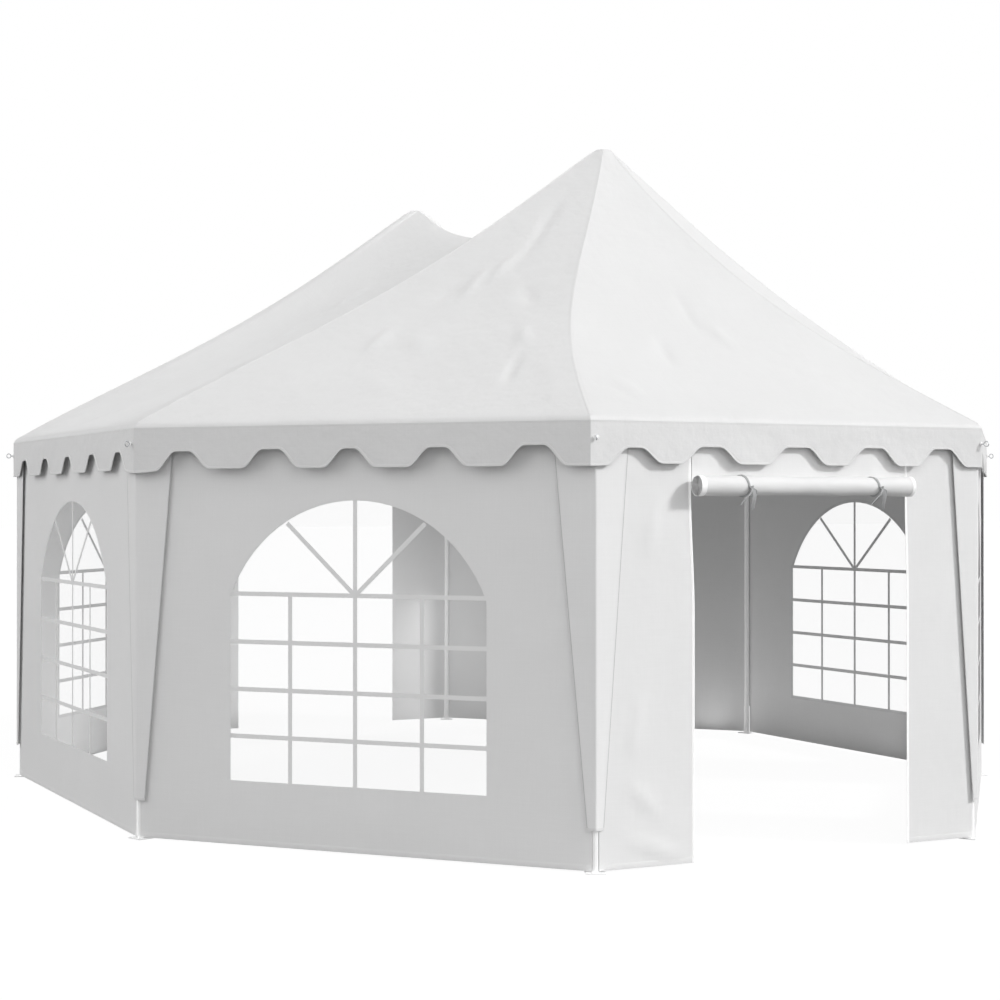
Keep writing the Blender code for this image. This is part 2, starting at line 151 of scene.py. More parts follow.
# Length, lean and width of a tie's loose ends
TIE_ENDS = ((0.100, 0.08, 0.019), (0.080, -0.75, 0.007), (0.026, 1.10, 0.011))
TIE_BAND = (0.012, 0.0034)
TIE_END_THICKNESS = 0.0026
TIE_SLANT = -0.026
TIE_LEAN = 0.010
TIE_LIFT = 0.0026
TIE_PUFF = 0.003
TIE_TWIST = 0.45
TIE_SQUEEZE = 0.003
TIE_SQUEEZE_REACH = 0.035
KNOT_LIFT = 0.009
ROLL_PITCH = 0.0044
ROLL_SEAT = 0.0004
ROLL_CORE = 0.004
ROLL_TAIL_DROP = 0.03
ROLL_LOOSE = (0.005, 0.002)
ROLL_DENT = 0.0022
ROLL_COLUMNS = 44
ROLL_TURN_STEPS = 22
FLAP_LENGTH = 1.79
ROLL_INSET = 0.010
ROLL_SHORTER = {"front": 0.014}
CUFF_WIDTHS = (0.026, 0.016)
CUFF_SKIN = (0.0009, 0.0019)

# Leg covers
COVER_TOP_WIDTH = 0.19
COVER_BOTTOM_WIDTH = 0.046
COVER_PUFF = 0.012
# How far the free edges of a cover's left and right halves stand off
COVER_LIFTS = {"front_left": (0.013, 0.001), "left_front": (0.003, 0.009)}
COVER_LIFT = (0.012, 0.012)
COVER_FOLD = 0.008
COVER_ROWS = 40
COVER_STITCH_INSET = 0.008
COVER_STITCH_RISE = 0.015
COVER_WAVE = 0.0015
BINDING_HALF = 0.0018
BINDING_SKIN = 0.0006
# Extra width of a cover's left and right halves, each at its foot and at its top
COVER_WIDER = {
    "front_left": ((-0.002, 0.026), (0.002, -0.004)),
    "left_front": ((0.0, 0.0), (0.012, 0.040)),
    "front_right": ((-0.014, -0.020), (0.0, 0.0)),
}

# Roof
EAVE_PITCH = math.radians(38.0)
TOP_ANGLE = math.pi / 2 - EAVE_PITCH
EAVE_BEND = 0.050
BEND_HEIGHT = 2.0877
BASE_HEIGHT = BEND_HEIGHT + EAVE_BEND * math.cos(EAVE_PITCH)
END_SAG = 0.154
SIDE_SAG = 0.093
SIDE_SAG_POWER = 1.5
SAG_SKEW = 0.8
HIP_BOW = 0.128
HIP_BOW_SKEW = 1.2
PEAK_FLAT = 0.045
PEAK_SOFT = 0.004
RIDGE_LOW = 3.440
RIDGE_SOFT = 0.030
RIM_SHARE = 0.08
RIM_GAP = 1e-4
PANEL_BELLY = 0.010
SLOPE_LENGTH = 2.75
ROOF_RIPPLE = 0.006
HIP_SEAM = 0.016
SEAM_STEPS = 60
SEAM_END = 0.985
SEAM_STITCH_SHARE = 0.7
SEAM_PROUD = 0.0010
EAVE_SEAM_ANGLE = 0.18
LOOSER_WALL = "front_left"
LOOSER_BY = 0.0225
ROOF_ROWS = 46
BEND_ROWS = 6

# Valance
VALANCE_ROWS = 6
NOTCH_TOP = 1.985
NOTCHES = 5
NOTCH_COLUMNS = 20
CORNER_LOBE_SHARE = 0.56
NOTCH_HALF_FOOT = 0.150
NOTCH_HALF_TOP = 0.030
HEM_WIDTH = 0.010
HEM_STEP = 0.009
HEM_STITCH_GAP = 0.003
HEM_PROBE = 0.002
VALANCE_WAVE = (0.0015, 0.005)
CORNER_EASE = 0.30

# Unevenness of the two valances that face the viewer: the lobes' lower end, then every notch's shift,
# its extra half width and its top
EVEN_NOTCH = (0.0, 0.0, NOTCH_TOP)
UNEVEN_VALANCES = {
    "front": (1.903, (
        (-0.011, 0.0, 1.976), (-0.038, 0.018, 1.984), (0.013, 0.026, 1.988),
        (0.018, 0.015, 1.991), (-0.001, 0.010, 1.991),
    )),
    "front_left": (1.891, (
        (0.016, 0.008, 1.980), (0.039, 0.014, 1.985), (-0.010, -0.005, 1.984),
        (-0.022, 0.008, 1.984), (-0.010, 0.018, 1.989),
    )),
}
UNEVEN_CORNERS = {"front_right": 1.902, "left_front": 1.872}

# Guy rings and washers: the height above which the rings lie, their least distance from the post's axis
RING_FROM = 1.95
RING_REACH = 0.052
WASHER_HEIGHT = 2.02
WASHER_PROFILE = ((0.0046, 0.0022), (0.0085, 0.0030), (0.0120, 0.0018), (0.0125, 0.0004), (0.0046, 0.0002))

# Creases of the two roof panels that face the viewer: across and up, from one end to the other
ROOF_CREASES = {
    "front_left": [
        (0.43, 0.87, 0.58, 0.61), (0.47, 0.66, 0.51, 0.56), (0.38, 0.62, 0.45, 0.49),
        (0.35, 0.55, 0.31, 0.47), (0.39, 0.35, 0.54, 0.27), (0.28, 0.38, 0.34, 0.27),
        (0.69, 0.54, 0.84, 0.48), (0.80, 0.38, 0.86, 0.30), (0.91, 0.22, 0.96, 0.15),
        (0.84, 0.27, 0.81, 0.12), (0.96, 0.15, 0.92, 0.05), (0.40, 0.18, 0.55, 0.09),
    ],
    "front": [
        (0.55, 0.57, 0.50, 0.36), (0.09, 0.18, 0.16, 0.06), (0.57, 0.42, 0.58, 0.30),
        (0.33, 0.36, 0.30, 0.22), (0.70, 0.25, 0.82, 0.13),
    ],
}
SPARE_CREASES = 9
CREASE_DEPTHS = (0.011, 0.017)
CREASE_WIDTHS = (0.028, 0.045)

# Folds of the wall that faces the viewer, from one end to the other, in metres along and up
WALL_FOLDS = {
    "front": [
        ((0.137, 0.150), (0.475, 0.040)), ((0.150, 0.425), (0.340, 0.240)),
        ((0.270, 1.449), (0.310, 1.731)), ((0.185, 0.516), (0.230, 0.841)),
    ],
}
FOLD_WIDTH = 0.028
FOLD_DEPTH = 0.008
SOFT_FOLDS = 7
SOFT_FOLD_WIDTHS = (0.025, 0.050)
SOFT_FOLD_DEPTHS = (-0.004, 0.004)

# Lights: direction, strength and spread of a sun; place, direction, size and power of an oval inside
SUNS = {
    "key": ((0.60, 0.73, 0.56), 1.95, 8),
    "front": ((1.0, 0.1, 0.4), 1.86, 100),
    "side": ((-0.35, -0.9, 0.45), 1.65, 60),
}
GROUND = 0.004
INSIDE_LIGHTS = {
    "inside_low": ((0, 0, GROUND), UP, (6.0, 5.0), 6.5),
    "inside_low_right": ((-0.2, 2.2, GROUND), UP, (2.4, 0.7), 1.5),
    "by_right_post": ((-1.36, 2.34, GROUND), UP, (0.4, 0.4), 0.58),
    "by_right_wall": ((0.40, 2.38, GROUND), UP, (0.4, 0.4), 0.30),
    "by_left_wall": ((-1.96, -1.77, GROUND), UP, (0.6, 0.6), 0.42),
    "by_back_wall": ((-2.88, -0.76, GROUND), UP, (0.4, 0.4), 0.55),
    "inside_low_corner": ((-1.95, 1.35, GROUND), UP, (0.9, 0.9), 2.0),
    "inside_low_left": ((-1.2, -1.9, GROUND), UP, (1.6, 1.0), 4.1),
    "inside_back": ((-2.45, 0, 0.8), (-1, 0, 0), (1.8, 1.3), 5.6),
    "inside_side": ((-1.0, -1.6, 1.0), (-0.85, -0.5, 0), (2.4, 1.6), 6.4),
}
SKY_STRENGTH = 0.08
FLOOR_REACH = 150
FLOOR_GAP = 0.0005


def smooth(value):
    value = min(max(value, 0.0), 1.0)
    return value * value * (3 - 2 * value)


def blend(low, high, share):
    return low + (high - low) * share


def spread(low, high, steps):
    """Even steps from one value to another, with both ends."""
    return [blend(low, high, step / steps) for step in range(steps + 1)]


def oblong(width, height):
    """Corners of a section, by its half width and half height."""
    return [(-width, -height), (width, -height), (width, height), (-width, height)]


def round_turns(count):
    return [math.tau * part / count for part in range(count)]


def ripple(x, y, seed):
    """Soft noise from -1 to 1 over a plane."""
    return noise.noise(Vector((x, y, seed * 7.31)))


# Plan
def wall_run(index):
    return (CORNERS[(index + 1) % COUNT] - CORNERS[index % COUNT]).normalized()


def wall_normal(index):
    run = wall_run(index)
    return Vector((run.y, -run.x, 0))


def wall_length(index):
    return (CORNERS[(index + 1) % COUNT] - CORNERS[index]).length


def wall_point(index, along, up, out):
    point = CORNERS[index] + wall_run(index) * along + wall_normal(index) * out
    return Vector((point.x, point.y, up))


def corner_out(index):
    return (wall_normal(index - 1) + wall_normal(index)).normalized()


def corner_at(index, height, before, after):
    """Corner of the plan with the wall before it and the wall after it moved out by two distances."""
    first, second = wall_normal(index - 1), wall_normal(index)
    cross = first.x * second.y - first.y * second.x
    x = (before * second.y - after * first.y) / cross
    y = (first.x * after - second.x * before) / cross
    foot = CORNERS[index % COUNT]
    return Vector((foot.x + x, foot.y + y, height))


def door_middle(index):
    return wall_length(index) / 2 + DOOR_SHIFT[WALL_NAMES[index]]


def jamb(index, side, up):
    """Place of a doorway's edge along its wall, at a height."""
    header, below = JAMB_SWAY.get(WALL_NAMES[index], ((0.0, 0.0), (0.0, 0.0)))[side > 0]
    sway = blend(header, below, smooth((DOOR_HEIGHT - up) / JAMB_SWAY_DROP))
    return door_middle(index) + side * DOOR_WIDTH / 2 + sway


# Meshes
def new_item(name, data):
    item = bpy.data.objects.new(name, data)
    bpy.context.scene.collection.objects.link(item)
    return item


def new_solid(name, points, faces):
    mesh = bpy.data.meshes.new(name)
    mesh.from_pydata(points, [], faces)
    return new_item(name, mesh)


def for_each(path, value):
    """A direction for every point of a path, from one direction or a list of them."""
    return [value] * len(path) if isinstance(value, Vector) else value


class Shape:
    """Points, faces and cloth coordinates in metres, gathered before a piece's mesh is made."""

    def __init__(self, rows=(), marks=None, ring=False):
        self.points = []
        self.faces = []
        self.marks = []
        if rows:
            self.add_grid(rows, marks, ring)

    def add_grid(self, rows, marks=None, ring=False):
        """Quads between rows of points; a ring's rows close on themselves."""
        start = len(self.points)
        width = len(rows[0])
        for place, row in enumerate(rows):
            self.points += row
            self.marks += marks[place] if marks else [(0.0, 0.0)] * width
        for low in range(len(rows) - 1):
            for part in range(width if ring else width - 1):
                after = (part + 1) % width
                here = start + low * width
                self.faces.append((here + part, here + after, here + width + after, here + width + part))
        return start

    def add_tube(self, rows, marks=None):
        """Solid skin round rows that are closed sections, with flat ends."""
        width = len(rows[0])
        start = self.add_grid(rows, marks, ring=True)
        self.faces.append(tuple(reversed(range(start, start + width))))
        last = start + width * (len(rows) - 1)
        self.faces.append(tuple(range(last, last + width)))

    def add_sweep(self, path, sides, outs, section):
        """A closed section of (side, out) offsets carried along a path."""
        sides, outs = for_each(path, sides), for_each(path, outs)
        around = [0.0]
        for (a, b), (c, d) in zip(section, section[1:]):
            around.append(around[-1] + math.hypot(c - a, d - b))
        rows, marks = [], []
        travelled = 0.0
        for place, point in enumerate(path):
            if place:
                travelled += (point - path[place - 1]).length
            rows.append([point + sides[place] * side + outs[place] * out for side, out in section])
            marks.append([(travelled, turn) for turn in around])
        self.add_tube(rows, marks)

    def add_box(self, centre, run, side, out, size):
        """A small block whose length, width and height lie along three directions."""
        length, width, height = (part / 2 for part in size)
        rows = []
        for end in (-length, length):
            base = centre + run * end
            rows.append([base + side * across + out * lift for across, lift in oblong(width, height)])
        self.add_tube(rows)

    def add_stitches(self, path, outs, pitch=STITCH_PITCH):
        """Short raised threads along a path."""
        outs = for_each(path, outs)
        left = pitch / 2
        for place in range(len(path) - 1):
            step = path[place + 1] - path[place]
            run = step.normalized()
            out = outs[place]
            side = run.cross(out)
            while left < step.length:
                centre = path[place] + run * left + out * STITCH_WIDTH / 2
                self.add_box(centre, run, side, out, (STITCH_LENGTH, STITCH_WIDTH, STITCH_WIDTH))
                left += pitch
            left -= step.length

    def build(self, name, material, slot, thickness=0.0, centred=False, weld=False, flat=False):
        item = new_solid(name, self.points, self.faces)
        layer = item.data.uv_layers.new(name="cloth")
        for loop in item.data.loops:
            layer.data[loop.index].uv = self.marks[loop.vertex_index]
        item.data.materials.append(material)
        if weld:
            item.modifiers.new("weld", "WELD").merge_threshold = WELD_GAP
        if thickness:
            thick = item.modifiers.new("thick", "SOLIDIFY")
            thick.thickness = thickness
            thick.offset = 0 if centred else -1
        apply_modifiers(item, flat)
        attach(item, "root")
        return item


def apply_modifiers(item, flat=False):
    graph = bpy.context.evaluated_depsgraph_get()
    mesh = bpy.data.meshes.new_from_object(item.evaluated_get(graph))
    item.modifiers.clear()
    item.data = mesh
    if not flat:
        mesh.shade_smooth()
        mesh.set_sharp_from_angle(angle=SHARP_ANGLE)


def cut_with(item, index, outline, operation):
    """Boolean of a wall's piece with a block over an outline drawn on that wall."""
    block = Shape()
    block.add_tube([[wall_point(index, *place, out) for place in outline] for out in CUT_DEPTHS])
    cutter = new_solid("cutter", block.points, block.faces)
    step = item.modifiers.new("cut", "BOOLEAN")
    step.operation = operation
    step.solver = "EXACT"
    step.object = cutter
    apply_modifiers(item)
    bpy.data.objects.remove(cutter, do_unlink=True)


def outline_area(outline):
    total = 0.0
    for place, (x, y) in enumerate(outline):
        after_x, after_y = outline[(place + 1) % len(outline)]
        total += x * after_y - after_x * y
    return abs(total) / 2


# Materials
def new_node(tree, kind, **inputs):
    """Shader node with some of its inputs set to a value or joined to another node's output."""
    node = tree.nodes.new("ShaderNode" + kind)
    for name, value in inputs.items():
        fill_socket(tree, node.inputs[name], value)
    return node


def fill_socket(tree, socket, value):
    if isinstance(value, bpy.types.NodeSocket):
        tree.links.new(value, socket)
    else:
        socket.default_value = value


def math_node(tree, operation, first, second=0.0):
    node = new_node(tree, "Math")
    node.operation = operation
    for socket, value in zip(node.inputs, (first, second)):
        fill_socket(tree, socket, value)
    return node.outputs[0]


def noise_node(tree, vector, scale, detail, stretch=None):
    if stretch:
        vector = new_node(tree, "Mapping", Scale=stretch, Vector=vector).outputs["Vector"]
    return new_node(tree, "TexNoise", Scale=scale, Detail=detail, Vector=vector).outputs["Fac"]


def ramp_node(tree, factor, low, high):
    node = new_node(tree, "ValToRGB", Fac=factor)
    for element, position, color in zip(node.color_ramp.elements, (0.3, 0.7), (low, high)):
        element.position = position
        element.color = (*color, 1)
    return node.outputs["Color"]


def bump_node(tree, height, distance, strength, **below):
    node = new_node(tree, "Bump", Distance=distance, Strength=strength, Height=height, **below)
    return node.outputs["Normal"]


def new_material(name, roughness):
    material = bpy.data.materials.new(name)
    material.use_nodes = True
    shader = material.node_tree.nodes["Principled BSDF"]
    shader.inputs["Roughness"].default_value = roughness
    place = new_node(material.node_tree, "TexCoord").outputs["Object"]
    return material, material.node_tree, shader.inputs, place


def fabric_material(name, color, roughness, thread, depth, contrast=0.03, crumple=0.006):
    """Coated weave: crossed threads in the bump, soft dents, faint streaks and clouding."""
    material, tree, inputs, place = new_material(name, roughness)
    marks = tree.nodes.new("ShaderNodeUVMap")
    marks.uv_map = "cloth"
    marks = marks.outputs["UV"]
    parts = new_node(tree, "SeparateXYZ", Vector=marks)
    turns = [math_node(tree, "MULTIPLY", parts.outputs[part], math.pi / thread) for part in "XY"]
    weave = math_node(tree, "MULTIPLY", *[math_node(tree, "SINE", turn) for turn in turns])
    cloud = noise_node(tree, place, 1.3, 3.0)
    warp = noise_node(tree, marks, 1.0, 2.0, (160, 5, 1))
    weft = noise_node(tree, marks, 1.0, 2.0, (5, 160, 1))
    streaks = math_node(tree, "MULTIPLY", math_node(tree, "ADD", warp, weft), 0.5)
    tone = math_node(tree, "MULTIPLY", math_node(tree, "ADD", cloud, streaks), 0.5)
    low = [part * (1 - contrast) for part in color]
    high = [min(part * (1 + contrast), 1.0) for part in color]
    tree.links.new(ramp_node(tree, tone, low, high), inputs["Base Color"])
    soft = bump_node(tree, noise_node(tree, place, 9.0, 4.0), crumple, 0.5)
    tree.links.new(bump_node(tree, weave, depth, 0.5, Normal=soft), inputs["Normal"])
    inputs["Sheen Weight"].default_value = 0.08
    inputs["Specular IOR Level"].default_value = 0.35
    return material


def paint_material(name, color, roughness, metallic=0.0):
    """Sprayed paint with a faint orange peel."""
    material, tree, inputs, place = new_material(name, roughness)
    low = [part * 0.96 for part in color]
    tree.links.new(ramp_node(tree, noise_node(tree, place, 6.0, 3.0), low, color), inputs["Base Color"])
    tree.links.new(bump_node(tree, noise_node(tree, place, 420.0, 2.0), 0.0003, 0.3), inputs["Normal"])
    inputs["Metallic"].default_value = metallic
    return material


def film_material():
    """Clear soft film with a faint haze and long shallow waves."""
    material, tree, inputs, place = new_material("clear_film", 0.06)
    haze = ramp_node(tree, noise_node(tree, place, 3.0, 3.0), (0.90, 0.91, 0.92), (0.95, 0.96, 0.97))
    tree.links.new(haze, inputs["Base Color"])
    tree.links.new(bump_node(tree, noise_node(tree, place, 5.0, 2.0), 0.004, 0.4), inputs["Normal"])
    inputs["Alpha"].default_value = 0.05
    inputs["IOR"].default_value = 1.5
    material.surface_render_method = "BLENDED"
    return material


def add_painted_glow(material, strength):
    """Painted glow: an even white emission, so the material gives back a little more light than it gets."""
    inputs = material.node_tree.nodes["Principled BSDF"].inputs
    inputs["Emission Color"].default_value = (1, 1, 1, 1)
    inputs["Emission Strength"].default_value = strength


STEEL = paint_material("white_paint", (0.97, 0.97, 0.97), 0.30)
# The white paint carries a painted glow, which makes the posts look lit where little light reaches them.
add_painted_glow(STEEL, 0.10)
RING_STEEL = paint_material("bare_steel", (0.55, 0.56, 0.57), 0.35, metallic=0.8)
ROOF_FABRIC = fabric_material("roof_weave", (0.78, 0.78, 0.78), 0.55, 0.0030, 0.0004, crumple=0.012)
WALL_FABRIC = fabric_material("wall_weave", (0.84, 0.84, 0.84), 0.62, 0.0026, 0.0004, crumple=0.005)
HEM_FABRIC = fabric_material("hem_tape", (0.77, 0.77, 0.77), 0.55, 0.0012, 0.0003, 0.01)
ZIP_FABRIC = fabric_material("zip_tape", (0.96, 0.96, 0.96), 0.50, 0.0010, 0.0002, 0.01)
# The zip tape carries a painted glow, which makes its white line brighter than the light on it gives.
add_painted_glow(ZIP_FABRIC, 0.14)
# The bindings' grey is painted shade: a dark line where the covers' free edges would cast shadow gaps on the
# walls.
BINDING_PAINTED_SHADE = fabric_material("edge_binding_painted_shade", (0.60, 0.60, 0.60), 0.70, 0.0012, 0.0002, 0.05)
TIE_FABRIC = fabric_material("tie_tape", (0.50, 0.505, 0.51), 0.75, 0.0018, 0.0006, 0.10)
THREAD = fabric_material("thread", (0.86, 0.86, 0.86), 0.60, 0.0005, 0.0001, 0.02)
FILM = film_material()


# Roof and valance
def valance_out(wall):
    extra = LOOSER_BY if WALL_NAMES[wall % COUNT] == LOOSER_WALL else 0.0
    return VALANCE_OUTER + extra


def eave_corner(index, angle):
    """Corner of the bend over the eave, at an angle round the bend."""
    inward = EAVE_BEND * (1 - math.cos(angle))
    height = BEND_HEIGHT + EAVE_BEND * math.sin(angle)
    return corner_at(index, height, valance_out(index - 1) - inward, valance_out(index) - inward)


def corner_peak(index):
    return PEAKS[1] if CORNERS[index % COUNT].x > 0 else PEAKS[-1]


def hip_plan(index, share):
    """Plan point on a hip: share 1 is at the eave and 0 at the peak's rim."""
    index = index % COUNT
    foot = eave_corner(index, TOP_ANGLE)
    foot.z = 0
    peak = corner_peak(index)
    along = (foot - peak).normalized()
    rim = peak + along * PEAK_FLAT
    point = rim + (foot - rim) * share
    if index in END_CORNERS:
        side = Vector((along.y, -along.x, 0))
        point += side * HIP_BOW * math.sin(math.pi * share ** HIP_BOW_SKEW)
    return point


def panel_width(wall, share):
    return (hip_plan(wall + 1, share) - hip_plan(wall, share)).length


def ridge_top(wall, across):
    """Top of a saddle panel's line: round one peak's rim, along the ridge, round the other's."""
    facing = 1 if CORNERS[wall].x > 0 else -1
    side = 1 if CORNERS[wall].y > 0 else -1
    if across > 0.5:
        facing, across = -facing, 1 - across
    if across < RIM_SHARE:
        turn = across / RIM_SHARE * math.pi / 2
        spoke = Vector((-facing * math.sin(turn), side * math.cos(turn), 0))
        return PEAKS[facing] + spoke * PEAK_FLAT, PEAK_HEIGHT, 0.0
    reach = PEAK_X - PEAK_FLAT
    place = (across - RIM_SHARE) / (1 - 2 * RIM_SHARE)
    x = facing * reach * (1 - 2 * place)
    return Vector((x, 0, 0)), None, 1 - abs(x) / reach


def roof_sag(wall, across, share):
    """How far the roof hangs below a straight line, most of it above the middle of the slope."""
    first, second = (1.0 if index % COUNT in END_CORNERS else 0.0 for index in (wall, wall + 1))
    end_weight = blend(first, second, across)
    wave = max(math.sin(math.pi * share ** SAG_SKEW), 0.0)
    return (1 - end_weight) * SIDE_SAG * wave ** SIDE_SAG_POWER + end_weight * END_SAG * wave


def roof_height(top, share, sag, soft):
    """Height of a line that hangs from the top to the eave, its upper end rounded off."""
    height = blend(BASE_HEIGHT, top, 1 - share) - sag
    return height - soft * math.log(1 + math.exp((height - top) / soft))


def panel_place(wall, across, share):
    """Place on a roof panel in metres: sideways from its middle line, and up the slope."""
    return Vector(((across - 0.5) * panel_width(wall, share), (1 - share) * SLOPE_LENGTH))


def make_creases(wall):
    """Creases of one roof panel as start, end, width and depth, in the panel's own metres."""
    draw = random.Random(100 + wall)
    ends = ROOF_CREASES.get(WALL_NAMES[wall])
    if not ends:
        ends = []
        for _ in range(SPARE_CREASES):
            across, rise = draw.uniform(0.12, 0.88), draw.uniform(0.08, 0.8)
            drop = draw.uniform(0.06, 0.16)
            ends.append((across, rise, across + draw.uniform(-0.10, 0.10), rise - drop))
    creases = []
    for place, (across, rise, low_across, low_rise) in enumerate(ends):
        start, end = panel_place(wall, across, 1 - rise), panel_place(wall, low_across, 1 - low_rise)
        depth = draw.uniform(*CREASE_DEPTHS) * (1 if place % 3 else -1)
        creases.append((start, end, draw.uniform(*CREASE_WIDTHS), depth))
    return creases


def crease_height(creases, place):
    total = 0.0
    for start, end, width, depth in creases:
        run = end - start
        share = min(max((place - start).dot(run) / run.length_squared, 0.0), 1.0)
        gap = (place - start - run * share).length
        if gap < 3 * width:
            total += depth * math.exp(-(gap / width) ** 2) * math.sin(math.pi * share)
    return total


CREASES = [make_creases(wall) for wall in range(COUNT)]


def roof_point(wall, across, share):
    """Point of the roof's upper face over one wall, with its sag, belly and creases."""
    sag = roof_sag(wall, across, share)
    top_height, soft = PEAK_HEIGHT, PEAK_SOFT
    if across in (0, 1):
        plan = hip_plan(wall + int(across), share)
    elif WALL_NAMES[wall] in SADDLE_WALLS:
        low = hip_plan(wall, 1).lerp(hip_plan(wall + 1, 1), across)
        top, top_height, middle = ridge_top(wall, across)
        if top_height is None:
            power = 2 + 2.4 * share ** 0.7
            top_height = RIDGE_LOW + (PEAK_HEIGHT - RIDGE_LOW) * (1 - middle) ** power
        plan = top.lerp(low, share)
        soft = blend(PEAK_SOFT, RIDGE_SOFT, smooth(3 * middle))
    else:
        plan = hip_plan(wall, share).lerp(hip_plan(wall + 1, share), across)
        if share == 0:
            peak = corner_peak(wall)
            plan = peak + (plan - peak).normalized() * PEAK_FLAT
        sag += PANEL_BELLY * math.sin(math.pi * across) * math.sin(math.pi * share)
    height = roof_height(top_height, share, sag, soft)
    hold = smooth(6 * min(across, 1 - across)) * smooth(5 * share) * smooth(9 * (1 - share))
    if hold > 0:
        place = panel_place(wall, across, share)
        unevenness = ROOF_RIPPLE * ripple(place.x * 1.6, place.y * 1.1, wall)
        height += hold * (crease_height(CREASES[wall], place) + unevenness)
    return Vector((plan.x, plan.y, height))


def valance_length(wall):
    return (eave_corner(wall + 1, 0) - eave_corner(wall, 0)).length


def notch_spacing(wall):
    return valance_length(wall) / (NOTCHES - 1 + 2 * CORNER_LOBE_SHARE)


def valance_edge(wall, along):
    """Height of the scalloped lower edge, which meets the next wall's edge at each corner."""
    low, notches = UNEVEN_VALANCES.get(WALL_NAMES[wall], (LOBE_BOTTOM, (EVEN_NOTCH,) * NOTCHES))
    lobe = low
    for corner, distance in ((wall, along), (wall + 1, valance_length(wall) - along)):
        corner_low = UNEVEN_CORNERS.get(CORNER_NAMES[corner % COUNT], LOBE_BOTTOM)
        lobe += (corner_low - low) * (1 - smooth(distance / CORNER_EASE))
    spacing = notch_spacing(wall)
    edge = lobe
    for place, (shift, wider, top) in enumerate(notches):
        distance = abs(along - spacing * (CORNER_LOBE_SHARE + place) - shift)
        rise = (NOTCH_HALF_FOOT + wider - distance) / (NOTCH_HALF_FOOT - NOTCH_HALF_TOP)
        edge = max(edge, blend(lobe, top, smooth(rise)))
    return edge


def valance_point(wall, along, height):
    """Point on the valance's outer face, which hangs in slight waves between its corners."""
    start, end = eave_corner(wall, 0), eave_corner(wall + 1, 0)
    length = (end - start).length
    down = smooth((BEND_HEIGHT - height) / (BEND_HEIGHT - LOBE_BOTTOM))
    hold = smooth(8 * min(along, length - along) / length)
    wave = VALANCE_WAVE[0] + VALANCE_WAVE[1] * ripple(along * 3.1, height * 2.0, wall + 20)
    point = start.lerp(end, along / length) + wall_normal(wall) * (hold * down * wave)
    return Vector((point.x, point.y, height))


def valance_columns(wall):
    """Places along a valance, in step with its notches."""
    length = valance_length(wall)
    step = notch_spacing(wall) / NOTCH_COLUMNS
    first = notch_spacing(wall) * CORNER_LOBE_SHARE % step
    inner = [first + step * place for place in range(int((length - first) / step) + 1)]
    return [0.0] + [place for place in inner if step / 4 < place < length - step / 4] + [length]


def add_roof_panel(shape, wall):
    """Valance, bend and slope over one wall, from the scalloped edge up to the peak's rim."""
    length = valance_length(wall)
    columns = valance_columns(wall)
    rows, marks = [], []
    for step in range(VALANCE_ROWS):
        share = step / VALANCE_ROWS
        line = [(along, blend(valance_edge(wall, along), BEND_HEIGHT, share)) for along in columns]
        rows.append([valance_point(wall, *place) for place in line])
        marks.append(line)
    for step in range(BEND_ROWS):
        angle = TOP_ANGLE * step / BEND_ROWS
        start, end = eave_corner(wall, angle), eave_corner(wall + 1, angle)
        rows.append([start.lerp(end, along / length) for along in columns])
        marks.append([(along, BEND_HEIGHT + EAVE_BEND * angle) for along in columns])
    for step in range(ROOF_ROWS + 1):
        share = 1 - step / ROOF_ROWS
        rows.append([roof_point(wall, along / length, share) for along in columns])
        up = BASE_HEIGHT + (1 - share) * SLOPE_LENGTH
        marks.append([((along - length / 2) * max(share, 0.02), up) for along in columns])
    shape.add_grid(rows, marks)
    return rows[-1]


def add_peak_caps(shape, rims):
    """Flat round tops that close the roof at both peaks."""
    for side, rim in rims.items():
        peak = PEAKS[side] + Vector((0, 0, PEAK_HEIGHT))
        rim.sort(key=lambda point: math.atan2(point.y, point.x - peak.x))
        ring = [point for place, point in enumerate(rim) if (point - rim[place - 1]).length > WELD_GAP]
        rows = []
        for share in (1.0, 0.85, 0.6, 0.3, 0.02):
            plans = [peak.xy.lerp(point.xy, share) for point in ring]
            heights = [blend(peak.z, point.z, share ** 3) for point in ring]
            rows.append([Vector((*plan, height)) for plan, height in zip(plans, heights)])
        marks = [[(point.x, point.y) for point in row] for row in rows]
        start = shape.add_grid(rows, marks, ring=True)
        last = start + len(ring) * (len(rows) - 1)
        shape.faces.append(tuple(range(last, last + len(ring))))


def make_canopy():
    shape = Shape()
    rims = {1: [], -1: []}
    for wall in range(COUNT):
        for point in add_roof_panel(shape, wall):
            for side, peak in PEAKS.items():
                if abs((point - peak).xy.length - PEAK_FLAT) < RIM_GAP:
                    rims[side].append(point)
    add_peak_caps(shape, rims)
    canopy = shape.build("canopy_cloth", ROOF_FABRIC, "roof_fabric", thickness=ROOF_CLOTH, weld=True)
    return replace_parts(canopy, "roof_canopy")


def hem_path(wall, inset=0.0):
    """Places along the scalloped edge, moved up into the cloth, with their sideways directions."""
    length = valance_length(wall)
    steps = int(length / HEM_STEP)
    run = wall_run(wall)
    places, ups = [], []
    for step in range(steps + 1):
        along = length * step / steps
        rise = valance_edge(wall, along + HEM_PROBE) - valance_edge(wall, along - HEM_PROBE)
        tangent = Vector((1, rise / (2 * HEM_PROBE))).normalized()
        shift = Vector((-tangent.y, tangent.x)) * inset
        place = along + (shift.x if 0 < step < steps else 0)
        places.append(valance_point(wall, place, valance_edge(wall, along) + shift.y))
        ups.append(run * -tangent.y + Vector((0, 0, tangent.x)))
    return places, ups


